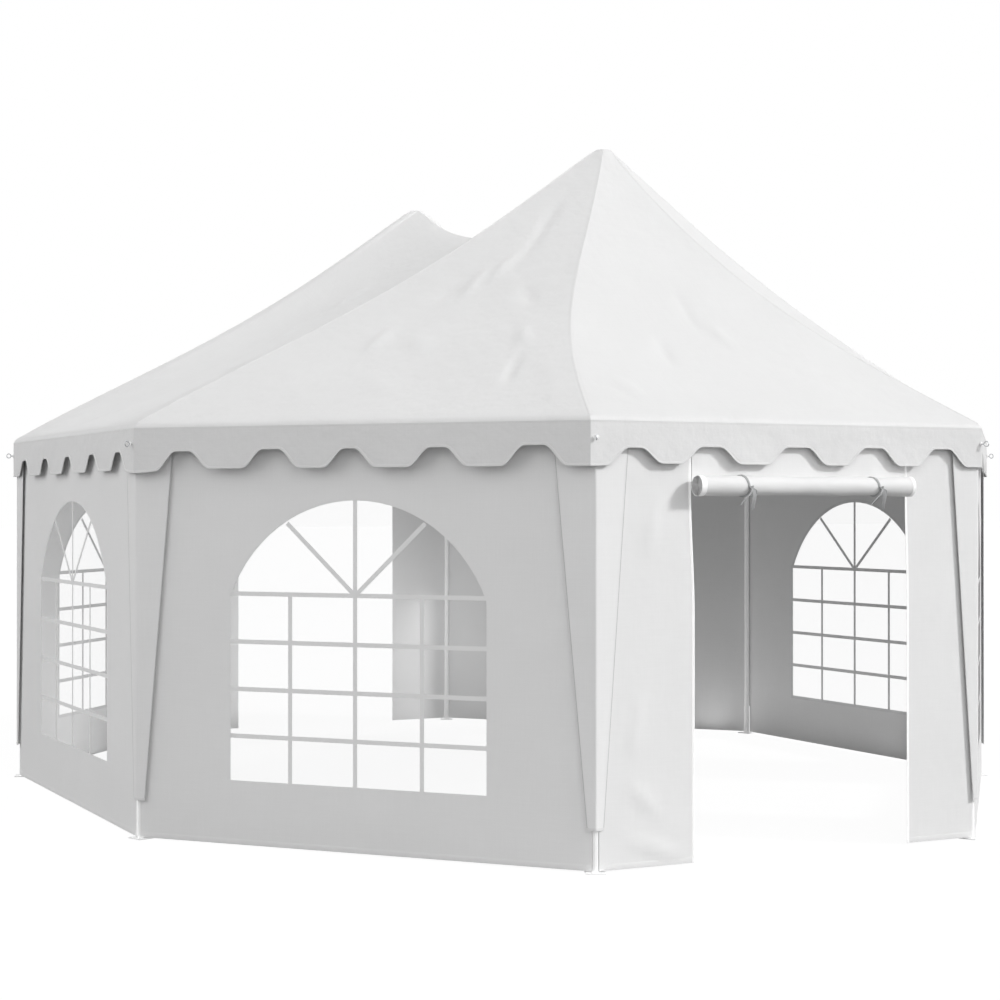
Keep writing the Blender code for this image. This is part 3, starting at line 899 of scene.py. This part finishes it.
def make_valance_hem():
    """Bound edge that wraps the valance's scallops, and its line of stitches."""
    hem, thread = Shape(), Shape()
    over, under = 0.0010, ROOF_CLOTH + 0.0010
    section = [
        (-0.0012, -under), (-0.0020, -0.0006), (-0.0014, 0.0008), (0.0006, 0.0015), (0.0032, 0.0013),
        (0.0044, over), (HEM_WIDTH - 0.0008, over), (HEM_WIDTH, 0.0), (HEM_WIDTH, -ROOF_CLOTH),
        (HEM_WIDTH - 0.0008, -under), (0.0044, -under), (0.0020, -under - 0.0014),
    ]
    for wall in range(COUNT):
        path, ups = hem_path(wall)
        hem.add_sweep(path, ups, wall_normal(wall), section)
        line, _ = hem_path(wall, HEM_WIDTH + HEM_STITCH_GAP)
        thread.add_stitches(line, wall_normal(wall), FINE_PITCH)
    return [
        hem.build("valance_hem", HEM_FABRIC, "roof_fabric"),
        thread.build("valance_stitches", THREAD, "roof_fabric", flat=True),
    ]


def seam_reach(wall, share):
    """Half of a hip seam's width, as a share of the panel's width there."""
    return min(HIP_SEAM / 2 / max(panel_width(wall, share), 0.02), 0.4)


def make_roof_seams():
    """Flat seams down the eight hips and along the eaves."""
    seams, thread = Shape(), Shape()
    lift, sink = UP * SEAM_PROUD, UP * -ROOF_CLOTH * 0.5
    for corner in range(COUNT):
        before = (corner - 1) % COUNT
        rows, marks, lines = [], [], ([], [])
        for step in range(SEAM_STEPS + 1):
            share = 1 - step / SEAM_STEPS * SEAM_END
            left = roof_point(before, 1 - seam_reach(before, share), share)
            right = roof_point(corner, seam_reach(corner, share), share)
            crest = roof_point(corner, 0, share)
            upper = [left + lift, crest + lift * 1.3, right + lift]
            rows.append([left + sink, *upper, right + sink, crest + sink])
            marks.append([(share * SLOPE_LENGTH, place * 0.006) for place in range(6)])
            for line, edge in zip(lines, (left, right)):
                line.append(crest.lerp(edge, SEAM_STITCH_SHARE) + lift)
        seams.add_tube(rows, marks)
        for line in lines:
            thread.add_stitches(line, UP)
    section = [(-0.006, -0.0006), (-0.005, SEAM_PROUD), (0.005, SEAM_PROUD), (0.006, -0.0006)]
    for wall in range(COUNT):
        out = wall_normal(wall)
        start, end = eave_corner(wall, EAVE_SEAM_ANGLE), eave_corner(wall + 1, EAVE_SEAM_ANGLE)
        path = [start.lerp(end, share) for share in spread(0, 1, 12)]
        seams.add_sweep(path, UP, out, section)
        thread.add_stitches([point + out * SEAM_PROUD for point in path], out)
    return [
        seams.build("roof_seams", ROOF_FABRIC, "roof_fabric"),
        thread.build("roof_stitches", THREAD, "roof_fabric", flat=True),
    ]


# Walls
def window_half(index):
    return WINDOW_SHARE * wall_length(index)


def window_outline(index, grow=0.0):
    """Arched window outline on a wall, grown by a lap on every side."""
    half = window_half(index)
    rise = WINDOW_CROWN - WINDOW_SPRING
    radius = (half * half + rise * rise) / (2 * rise)
    centre = WINDOW_CROWN - radius
    reach = math.asin(half / radius)
    middle = wall_length(index) / 2
    points = [(middle - half - grow, WINDOW_SILL - grow), (middle + half + grow, WINDOW_SILL - grow)]
    for step in range(ARCH_STEPS + 1):
        angle = reach * (1 - 2 * step / ARCH_STEPS)
        along = middle + (half + grow) / half * radius * math.sin(angle)
        points.append((along, centre + (radius + grow) * math.cos(angle)))
    return points


def make_wall_folds(index):
    """Folds of one wall's cloth as start, end, width and depth, in metres along and up."""
    draw = random.Random(500 + index)
    folds = []
    for start, end in WALL_FOLDS.get(WALL_NAMES[index], []):
        folds.append((Vector(start), Vector(end), FOLD_WIDTH, FOLD_DEPTH))
    for _ in range(SOFT_FOLDS):
        low = Vector((draw.uniform(0.15, wall_length(index) - 0.15), draw.uniform(0.02, 1.5)))
        lean = Vector((draw.uniform(-0.25, 0.25), draw.uniform(0.12, 0.40)))
        folds.append((low, low + lean, draw.uniform(*SOFT_FOLD_WIDTHS), draw.uniform(*SOFT_FOLD_DEPTHS)))
    return folds


WALL_CREASES = [make_wall_folds(index) for index in range(COUNT)]


def wall_wave(index, along, up):
    """How far a wall's cloth stands off its flat middle: soft folds that die out at its window."""
    length = wall_length(index)
    wave = 0.7 * ripple(along * 1.9, up * 0.8, index) + 0.3 * ripple(along * 5.0, up * 3.0, index + 9)
    wave = WALL_WAVE * wave + crease_height(WALL_CREASES[index], Vector((along, up)))
    covered = 0.04 + 0.10 * up / COVER_TOP
    wave *= smooth((min(along, length - along) - covered) / 0.15)
    if WALL_NAMES[index] in DOOR_WALLS:
        return wave
    beside = abs(along - length / 2) - window_half(index)
    gap = max(beside, WINDOW_SILL - up, up - WINDOW_CROWN)
    return wave * smooth((gap - 0.02) / 0.10)


def wall_face(index, along, up, lift=0.0):
    """Point on the outer face of a wall's cloth."""
    out = (WALL_INNER + WALL_OUTER + WALL_CLOTH) / 2 + wall_wave(index, along, up) + lift
    return wall_point(index, along, up, out)


def cloth_shape(index, left, right, bottom, top, spacing, place):
    """Grid of cloth over a rectangle of a wall."""
    alongs = spread(left, right, max(int((right - left) / spacing), 1))
    rows, marks = [], []
    for up in spread(bottom, top, max(int((top - bottom) / spacing), 1)):
        rows.append([place(index, along, up) for along in alongs])
        marks.append([(along, up) for along in alongs])
    return Shape(rows, marks)


def wall_ends(index):
    return WALL_END_GAP, wall_length(index) - WALL_END_GAP


def make_wall(index):
    """A window wall, or a doorway wall with its header and two side panels."""
    name = WALL_NAMES[index]
    left, right = wall_ends(index)
    shape = cloth_shape(index, left, right, WALL_BOTTOM, WALL_TOP, WALL_GRID, wall_face)
    title = name + ("_door_wall" if name in DOOR_WALLS else "_wall")
    item = shape.build(title + "_cloth", WALL_FABRIC, "wall_fabric", thickness=WALL_CLOTH)
    if name in DOOR_WALLS:
        heights = [-0.1] + spread(0, DOOR_HEIGHT, JAMB_STEPS)
        outline = [(jamb(index, 1, up), up) for up in heights]
        outline += [(jamb(index, -1, up), up) for up in reversed(heights)]
        hole = DOOR_WIDTH * (DOOR_HEIGHT - WALL_BOTTOM)
    else:
        outline = window_outline(index)
        hole = outline_area(outline)
    cut_with(item, index, outline, "DIFFERENCE")
    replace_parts(item, title)
    size = (right - left, WALL_TOP - WALL_BOTTOM)
    return item, size, size[0] * size[1] - hole


def add_face_tape(shape, index, places, width, lift=0.0):
    """Tape that lies on a wall's outer face along a line of places and follows its folds."""
    path = [wall_face(index, along, up, lift) for along, up in places]
    out = wall_normal(index)
    side = (path[-1] - path[0]).normalized().cross(out)
    half, thin = width / 2, TAPE * 0.7
    upper = [(half, thin), (half - 0.0008, TAPE), (0.0008 - half, TAPE), (-half, thin)]
    shape.add_sweep(path, side, out, [(-half, 0.0), (half, 0.0)] + upper)


def make_wall_hems(index):
    """Turned hems along the wall's lower edge, with stitches there and round the window."""
    name = WALL_NAMES[index]
    left, right = wall_ends(index)
    tape, thread = Shape(), Shape()
    out = wall_normal(index)
    spans = [(left, right)]
    if name in DOOR_WALLS:
        spans = [(left, jamb(index, -1, WALL_BOTTOM)), (jamb(index, 1, WALL_BOTTOM), right)]
    for near, far in spans:
        alongs = spread(near, far, 30)
        places = [(along, WALL_BOTTOM + WALL_HEM / 2) for along in alongs]
        add_face_tape(tape, index, places, WALL_HEM, -TAPE / 2)
        height = WALL_BOTTOM + WALL_HEM - WALL_STITCH_INSET
        thread.add_stitches([wall_face(index, along, height, TAPE / 2) for along in alongs], out)
    if name not in DOOR_WALLS:
        ring = window_outline(index, WINDOW_STITCH_GAP)
        thread.add_stitches([wall_face(index, *place) for place in ring + ring[:1]], out, FINE_PITCH)
    return [
        tape.build(name + "_wall_hem", WALL_FABRIC, "wall_fabric"),
        thread.build(name + "_wall_stitches", THREAD, "wall_fabric", flat=True),
    ]


def film_point(index, along, up):
    wave = FILM_WAVE * ripple(along * 4.0, up * 2.5, index + 40)
    return wall_point(index, along, up, FILM_OUTER - FILM_SEAT + wave)


def make_film(index):
    """Clear sheet behind a window opening."""
    name = WALL_NAMES[index] + "_window"
    middle = wall_length(index) / 2
    reach = window_half(index) + FILM_LAP + FILM_MARGIN
    bottom, top = WINDOW_SILL - FILM_LAP - FILM_MARGIN, WINDOW_CROWN + FILM_LAP + FILM_MARGIN
    shape = cloth_shape(index, middle - reach, middle + reach, bottom, top, FILM_GRID, film_point)
    item = shape.build(name + "_film", FILM, "window_film", thickness=FILM_CLOTH)
    outline = window_outline(index, FILM_LAP)
    cut_with(item, index, outline, "INTERSECT")
    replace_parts(item, name)
    size = (2 * window_half(index) + 2 * FILM_LAP, WINDOW_CROWN - WINDOW_SILL + 2 * FILM_LAP)
    return item, size, outline_area(outline)


def make_bars(index):
    """Bars of a window: four across, three upright and a fan of three in the arch."""
    shape = Shape()
    middle, half = wall_length(index) / 2, window_half(index)
    out = wall_normal(index)
    reach, base = half + BAR_LAP, BAR_HEIGHTS[-1]
    bars = [((middle - reach, height), (middle + reach, height), 0) for height in BAR_HEIGHTS]
    for side in (-1, 1):
        along = middle + side * BAR_SPREAD * half
        bars.append(((along, WINDOW_SILL - BAR_LAP), (along, base), 1))
        bars.append(((middle, base), (middle + side * FAN_SPREAD * half, FAN_HEIGHT + BAR_LAP), 2))
    bars.append(((middle, WINDOW_SILL - BAR_LAP), (middle, WINDOW_CROWN + BAR_LAP), 3))
    for start, end, layer in bars:
        near, far = (FILM_OUTER + depth + layer * BAR_STEP for depth in BAR_DEPTHS)
        low, high = wall_point(index, *start, 0), wall_point(index, *end, 0)
        run = (high - low).normalized()
        centre = (low + high) / 2 + out * (near + far) / 2
        shape.add_box(centre, run, run.cross(out), out, ((high - low).length, BAR_WIDTH, far - near))
    return shape.build(WALL_NAMES[index] + "_window_bars", WALL_FABRIC, "wall_fabric", flat=True)


# Doorways
def make_zips(index):
    """Zip halves down both jambs: a white tape on the cloth's edge, with its row of teeth."""
    shape = Shape()
    run, out = wall_run(index), wall_normal(index)
    heights = spread(WALL_BOTTOM, WALL_TOP - ZIP_TOP_GAP, ZIP_STEPS)
    for side in (-1, 1):
        middle = side * (ZIP_WIDTH / 2 - ZIP_LAP)
        places = [(jamb(index, side, height) + middle, height) for height in heights]
        add_face_tape(shape, index, places, ZIP_WIDTH, 0.0002)
        for tooth in range(int((DOOR_HEIGHT - WALL_BOTTOM) / ZIP_PITCH)):
            height = WALL_BOTTOM + ZIP_PITCH * (tooth + 0.5)
            centre = wall_face(index, jamb(index, side, height), height, TAPE + 0.0004)
            shape.add_box(centre, UP, run, out, ZIP_TOOTH)
        places = [(jamb(index, side, height) + side * ZIP_BEAD_SHIFT, height) for height in heights]
        bead = [wall_face(index, *place, TAPE + 0.0007) for place in places]
        shape.add_sweep(bead, run, out, oblong(0.0008, 0.0007))
    return shape.build(WALL_NAMES[index] + "_door_zips", ZIP_FABRIC, "roof_fabric", flat=True)


def roll_pinch(index, along):
    """How much the ties squeeze the roll, in metres."""
    gaps = [(along - tie) / TIE_SQUEEZE_REACH for tie in TIE_PLACES[WALL_NAMES[index]]]
    return sum(TIE_SQUEEZE * math.exp(-gap ** 2) for gap in gaps)


def roll_radius(index, along):
    long, short = ripple(along * 3.4, 0.5, index + 60), ripple(along * 9.0, 0.5, index + 61)
    return ROLL_RADIUS - roll_pinch(index, along) + (ROLL_LOOSE[0] * long + ROLL_LOOSE[1] * short)


def roll_point(index, along, turn, lift=0.0):
    """Point of the rolled flap, by the angle it has turned since it left the wall."""
    radius = roll_radius(index, along) * (1 - ROLL_PITCH * turn / math.tau / ROLL_RADIUS)
    dents = ROLL_DENT * ripple(along * 6.0, turn * 0.9, index + 70) * smooth(1.5 - turn / math.tau)
    radius += dents + lift
    angle = math.pi + turn
    up, out = ROLL_HEIGHT + radius * math.sin(angle), ROLL_OUT + radius * math.cos(angle)
    return wall_point(index, along, up, out)


def roll_ends(index):
    """Places of the roll's two ends along the wall."""
    middle = door_middle(index)
    shorter = ROLL_SHORTER.get(WALL_NAMES[index], 0.0)
    return middle - DOOR_WIDTH / 2 + ROLL_INSET, middle + DOOR_WIDTH / 2 - ROLL_INSET - shorter


def make_roll(index):
    """Door flap that comes down from the rail and is rolled up outwards, in one long spiral."""
    name = WALL_NAMES[index] + "_door_roll"
    left, right = roll_ends(index)
    columns = spread(left, right, ROLL_COLUMNS)
    rows, marks = [], []
    tail_top = WALL_TOP - ROLL_TAIL_DROP
    for step in range(7):
        height = blend(tail_top, ROLL_HEIGHT, step / 7)
        hug = smooth(step / 6)
        row = []
        for along in columns:
            back = roll_point(index, along, 0.0)
            flat = wall_point(index, along, height, WALL_OUTER + ROLL_SEAT + WALL_CLOTH / 2)
            row.append(Vector((blend(flat.x, back.x, hug), blend(flat.y, back.y, hug), height)))
        rows.append(row)
        drop = tail_top - height
        marks.append([(along, drop) for along in columns])
    turns = (ROLL_RADIUS - ROLL_CORE) / ROLL_PITCH
    segments = int(turns * ROLL_TURN_STEPS)
    for step in range(segments + 1):
        turn = math.tau * turns * step / segments
        rows.append([roll_point(index, along, turn) for along in columns])
        drop += math.tau * turns / segments * (ROLL_RADIUS - ROLL_PITCH * turn / math.tau)
        marks.append([(along, drop) for along in columns])
    shape = Shape(rows, marks)
    item = shape.build(name + "_cloth", WALL_FABRIC, "wall_fabric", thickness=WALL_CLOTH, centred=True)
    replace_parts(item, name)
    return item, (right - left, tail_top - ROLL_HEIGHT + FLAP_LENGTH)


def make_roll_cuffs(index):
    """White zip tape with a painted glow that edges the flap and shows as a bright cuff at both ends of the
    roll.
    """
    shape = Shape()
    for side, end, width in zip((-1, 1), roll_ends(index), CUFF_WIDTHS):
        rows, marks = [], []
        for turn in round_turns(48) + [math.tau]:
            ring = [roll_point(index, end + side * 0.0015, turn, lift) for lift in CUFF_SKIN]
            ring += [roll_point(index, end - side * width, turn, lift) for lift in reversed(CUFF_SKIN)]
            rows.append(ring)
            marks.append([(turn * ROLL_RADIUS, place * 0.01) for place in range(4)])
        shape.add_tube(rows, marks)
    return shape.build(WALL_NAMES[index] + "_door_roll_cuffs", ZIP_FABRIC, "roof_fabric")


def add_ribbon(shape, path, sides, width, thickness):
    """Flat soft tape along a path, its width along the given directions."""
    outs = []
    for place in range(len(path)):
        run = path[min(place + 1, len(path) - 1)] - path[max(place - 1, 0)]
        outs.append(run.cross(sides[place]).normalized())
    half, lift = width / 2, thickness / 2
    flat = half * 0.8
    section = [(-half, 0), (-flat, -lift), (flat, -lift), (half, 0), (flat, lift), (-flat, lift)]
    shape.add_sweep(path, sides, outs, section)


def add_knot(shape, centre, run, out, size=0.0046, wire=0.0034, steps=60):
    """Small trefoil knot of round tape."""
    curve = []
    for turn in round_turns(steps):
        a = math.sin(turn) + 2 * math.sin(2 * turn)
        b = math.cos(turn) - 2 * math.cos(2 * turn)
        c = -math.sin(3 * turn)
        curve.append(centre + (run * a * 0.75 + UP * b + out * c * 1.3) * size)
    rows, marks = [], []
    for step in range(steps):
        heading = (curve[(step + 1) % steps] - curve[step - 1]).normalized()
        side = heading.cross(out).normalized()
        lift = heading.cross(side)
        offsets = [side * math.cos(bend) + lift * math.sin(bend) for bend in round_turns(6)]
        rows.append([curve[step] + offset * wire for offset in offsets])
        marks.append([(step * 0.002, part * 0.003) for part in range(6)])
    shape.add_grid(rows + rows[:1], marks + marks[:1], ring=True)


def make_ties(index):
    """Two ties that hold the roll: a slanting band right round it, a knot in front and two loose ends."""
    shape = Shape()
    name = WALL_NAMES[index]
    run, out = wall_run(index), wall_normal(index)
    for number, tie in enumerate(TIE_PLACES[name]):
        draw = random.Random(300 + index * 10 + number)
        path, sides = [], []
        for share in spread(0, 1, 48):
            turn = (KNOT_TURNS[name] + math.tau * (share - 1)) % math.tau
            along = tie + (TIE_SLANT * math.sin(math.pi * share) + TIE_LEAN * (share - 0.5))
            path.append(roll_point(index, along, turn, TIE_LIFT + TIE_PUFF * math.sin(math.pi * share)))
            radial = (path[-1] - wall_point(index, along, ROLL_HEIGHT, ROLL_OUT)).normalized()
            twist = TIE_TWIST * math.sin(share * 9 + number)
            sides.append((run + radial * twist).normalized())
        add_ribbon(shape, path, sides, *TIE_BAND)
        knot = roll_point(index, tie + 0.002, KNOT_TURNS[name], KNOT_LIFT)
        add_knot(shape, knot, run, out)
        for length, lean, width in TIE_ENDS:
            tail, sides = [], []
            for share in spread(0, 1, 18):
                sway = lean * length * share + 0.005 * math.sin(share * 5 + draw.uniform(0, 0.4))
                forward = 0.012 * math.sin(math.pi * share) + 0.006
                tail.append(knot + run * sway + UP * (-length * share) + out * forward * (1 - 0.6 * share))
                turn = 0.2 + share * 0.6 + number * 0.2
                sides.append((run * math.cos(turn) + out * math.sin(turn)).normalized())
            add_ribbon(shape, tail, sides, width, TIE_END_THICKNESS)
    return shape.build(name + "_door_ties", TIE_FABRIC, "wall_fabric")


# Leg covers
def cover_width(index, side, height):
    """Width of a leg cover on one side of its fold, at a height."""
    foot, top = COVER_WIDER.get(CORNER_NAMES[index], ((0.0, 0.0), (0.0, 0.0)))[side > 0]
    rise = (height - COVER_BOTTOM) / (COVER_TOP - COVER_BOTTOM)
    return blend(COVER_BOTTOM_WIDTH + foot, COVER_TOP_WIDTH + top, rise)


def cover_point(index, along, height, lift=0.0):
    """Point on a leg cover's outer face, by its signed distance from the fold."""
    width = cover_width(index, along, height)
    reach = COVER_OUTER - 0.001 + COVER_PUFF
    fold = corner_at(index, height, reach, reach)
    before, after = -wall_run(index - 1), wall_run(index)
    if abs(along) > COVER_FOLD:
        point = fold + (after if along > 0 else before) * abs(along)
        normal = wall_normal(index if along > 0 else index - 1)
    else:
        share = (along + COVER_FOLD) / (2 * COVER_FOLD)
        start, end = fold + before * COVER_FOLD, fold + after * COVER_FOLD
        point = start.lerp(fold, share).lerp(fold.lerp(end, share), share)
        normal = corner_out(index)
    edge = COVER_LIFTS.get(CORNER_NAMES[index], COVER_LIFT)[along > 0]
    edge += COVER_WAVE * ripple(height * 0.9, 1.0 if along > 0 else 5.0, index + 80)
    return point + normal * ((edge - COVER_PUFF) * abs(along) / width + lift)


def make_cover(index):
    """Tapered strip folded round a corner, its free edges standing a little off the walls."""
    rows, marks = [], []
    parts = [-1.0, -0.9, -0.78, -0.64, -0.5, -0.35, -0.2]
    for height in spread(COVER_BOTTOM, COVER_TOP, COVER_ROWS):
        line = [part * cover_width(index, -1, height) for part in parts]
        line += [-COVER_FOLD, -COVER_FOLD * 0.5, 0.0, COVER_FOLD * 0.5, COVER_FOLD]
        line += [-part * cover_width(index, 1, height) for part in reversed(parts)]
        rows.append([cover_point(index, along, height) for along in line])
        marks.append([(along, height) for along in line])
    name = CORNER_NAMES[index] + "_leg_cover"
    item = Shape(rows, marks).build(name + "_cloth", WALL_FABRIC, "wall_fabric", thickness=WALL_CLOTH)
    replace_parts(item, name)
    low, high = [
        cover_width(index, -1, height) + cover_width(index, 1, height) for height in (COVER_BOTTOM, COVER_TOP)
    ]
    area = (low + high) / 2 * (COVER_TOP - COVER_BOTTOM)
    return item, (high, COVER_TOP - COVER_BOTTOM), area


def make_cover_trims(index):
    """Bindings whose grey is painted shade along the free edges, bound lower end and stitched side edges of a
    leg cover.
    """
    edges, tape, thread = Shape(), Shape(), Shape()
    parts = (-1.0, -0.6, -0.25, -0.1, 0.0, 0.1, 0.25, 0.6, 1.0)
    places = [part * cover_width(index, part, COVER_BOTTOM) for part in parts]
    skins = ((-0.001, TAPE), (0.012, TAPE), (0.011, -WALL_CLOTH - TAPE), (0.0, -WALL_CLOTH - TAPE))
    rows, marks = [], []
    for place in places:
        rows.append([cover_point(index, place, COVER_BOTTOM + height, lift) for height, lift in skins])
        marks.append([(place, turn) for turn in (0.0, 0.013, 0.014, 0.027)])
    tape.add_tube(rows, marks)
    section = oblong(BINDING_HALF, WALL_CLOTH / 2 + BINDING_SKIN)
    for side, wall in ((-1, index - 1), (1, index)):
        def edge_line(low, steps, inset, lift=0.0):
            heights = spread(low, COVER_TOP, steps)
            reaches = [side * (cover_width(index, side, height) - inset) for height in heights]
            return [cover_point(index, reach, height, lift) for reach, height in zip(reaches, heights)]

        line = edge_line(COVER_BOTTOM + COVER_STITCH_RISE, 39, COVER_STITCH_INSET)
        thread.add_stitches(line, wall_normal(wall))
        # Bindings along the free edges, their grey painted shade.
        path = edge_line(COVER_BOTTOM, COVER_ROWS, BINDING_HALF, -WALL_CLOTH / 2)
        edges.add_sweep(path, wall_run(wall), wall_normal(wall), section)
    name = CORNER_NAMES[index] + "_leg_cover"
    return [
        edges.build(name + "_painted_shade_bindings", BINDING_PAINTED_SHADE, "wall_fabric"),
        tape.build(name + "_hem", HEM_FABRIC, "roof_fabric"),
        thread.build(name + "_stitches", THREAD, "wall_fabric", flat=True),
    ]


def make_washers():
    """Round washers that hold the valance's corners on the stems of the guy rings."""
    shape = Shape()
    for index in range(COUNT):
        out = corner_out(index)
        side = UP.cross(out)
        corner = eave_corner(index, 0)
        reach = (Vector((corner.x, corner.y, WASHER_HEIGHT)) - CORNERS[index]).dot(out)
        centre = CORNERS[index] + out * reach + UP * WASHER_HEIGHT
        rows = []
        spokes = [side * math.cos(turn) + UP * math.sin(turn) for turn in round_turns(20)]
        for reach, lift in WASHER_PROFILE:
            rows.append([centre + spoke * reach + out * lift for spoke in spokes])
        shape.add_grid(rows + rows[:1], ring=True)
    return shape.build("valance_washers", STEEL, "steel", weld=True)


# Stage, light and camera
def mix_into(tree, kind, factor, first, second):
    """Mix of two shaders, joined to the tree's output."""
    mix = new_node(tree, "MixShader")
    for socket, source in zip(mix.inputs, (factor, first, second)):
        tree.links.new(source, socket)
    new_node(tree, "Output" + kind, Surface=mix.outputs[0])


def make_stage():
    """Pale floor: full white to the eye, softer as a light."""
    floor = new_solid("floor", [(x, y, 0) for x, y in oblong(FLOOR_REACH, FLOOR_REACH)], [(0, 1, 2, 3)])
    floor.location.z = -FLOOR_GAP
    material = bpy.data.materials.new("pale_floor")
    material.use_nodes = True
    tree = material.node_tree
    tree.nodes.clear()
    real, faint = (new_node(tree, "BsdfDiffuse", Color=(grey, grey, grey, 1)) for grey in (0.34, 0.08))
    glow = new_node(tree, "Emission", Strength=0.955)
    seen = new_node(tree, "AddShader")
    tree.links.new(faint.outputs[0], seen.inputs[0])
    tree.links.new(glow.outputs[0], seen.inputs[1])
    path = new_node(tree, "LightPath")
    mix_into(tree, "Material", path.outputs["Is Camera Ray"], real.outputs[0], seen.outputs[0])
    floor.data.materials.append(material)


def make_world():
    """Even white surroundings: full white to the eye and in reflections, softer as a light."""
    world = bpy.data.worlds.new("studio")
    bpy.context.scene.world = world
    world.use_nodes = True
    tree = world.node_tree
    tree.nodes.clear()
    path = new_node(tree, "LightPath")
    seen = math_node(tree, "MAXIMUM", path.outputs["Is Camera Ray"], path.outputs["Is Glossy Ray"])
    soft, full = (
        new_node(tree, "Background", Color=(1, 1, 1, 1), Strength=power) for power in (SKY_STRENGTH, 1.0)
    )
    mix_into(tree, "World", seen, soft.outputs[0], full.outputs[0])


def make_lamp(name, kind, toward, energy):
    """Lamp on the side that a direction points to, shining back along it."""
    lamp = bpy.data.lights.new(name, kind)
    lamp.energy = energy
    item = new_item(name, lamp)
    item.rotation_mode = "QUATERNION"
    item.rotation_quaternion = Vector(toward).to_track_quat("Z", "Y")
    return item


def make_lights():
    """Even suns, softer the wider their spread, and soft ovals inside the tent, unseen themselves."""
    for name, (toward, energy, width) in SUNS.items():
        make_lamp(name, "SUN", toward, energy).data.angle = math.radians(width)
    for name, (place, facing, size, power) in INSIDE_LIGHTS.items():
        item = make_lamp(name, "AREA", -Vector(facing), power)
        item.data.shape = "ELLIPSE"
        item.data.size, item.data.size_y = size
        item.location = place
        item.visible_camera = False


def make_camera():
    """Camera at the photograph's viewpoint, at eye level in front of the near corner."""
    data = bpy.data.cameras.new("camera")
    data.sensor_width = 36
    data.lens = 71.96
    data.clip_end = 400
    camera = new_item("camera", data)
    yaw, pitch = math.radians(153.69), math.radians(0.19)
    heading = Vector((math.cos(yaw) * math.cos(pitch), math.sin(yaw) * math.cos(pitch), math.sin(pitch)))
    camera.location = (11.33, -5.61, 1.70)
    camera.rotation_euler = heading.to_track_quat("-Z", "Y").to_euler()
    bpy.context.scene.camera = camera


def paint_frame():
    """White paint with a painted glow for the posts, rails, rafters, crowns and ridge bar, and bare steel on
    the guy rings.
    """
    for part in frame["record"]["subparts"]:
        if part["material_slot"] == "steel":
            for slot in frame["nodes"][part["node"]].material_slots:
                slot.material = STEEL
    for foot, name in zip(CORNERS, CORNER_NAMES):
        post = frame["nodes"][name + "_post"]
        post.data.materials.append(RING_STEEL)
        for face in post.data.polygons:
            centre = post.matrix_world @ face.center
            if centre.z > RING_FROM and (centre.xy - foot.xy).length > RING_REACH:
                face.material_index = len(post.data.materials) - 1


def main():
    bpy.context.scene.view_settings.view_transform = "Standard"
    make_camera()
    make_stage()
    make_world()
    make_lights()
    paint_frame()
    trims = make_valance_hem() + make_roof_seams() + [make_washers()]
    make_canopy()
    for index in range(COUNT):
        name = WALL_NAMES[index]
        trims = make_wall_hems(index)
        if name in DOOR_WALLS:
            trims.append(make_zips(index))
            roll, size = make_roll(index)
            make_roll_cuffs(index)
            make_ties(index)
        else:
            trims.append(make_bars(index))
            film, size, area = make_film(index)
        wall, size, area = make_wall(index)
        cover, size, area = make_cover(index)
        make_cover_trims(index)


main()
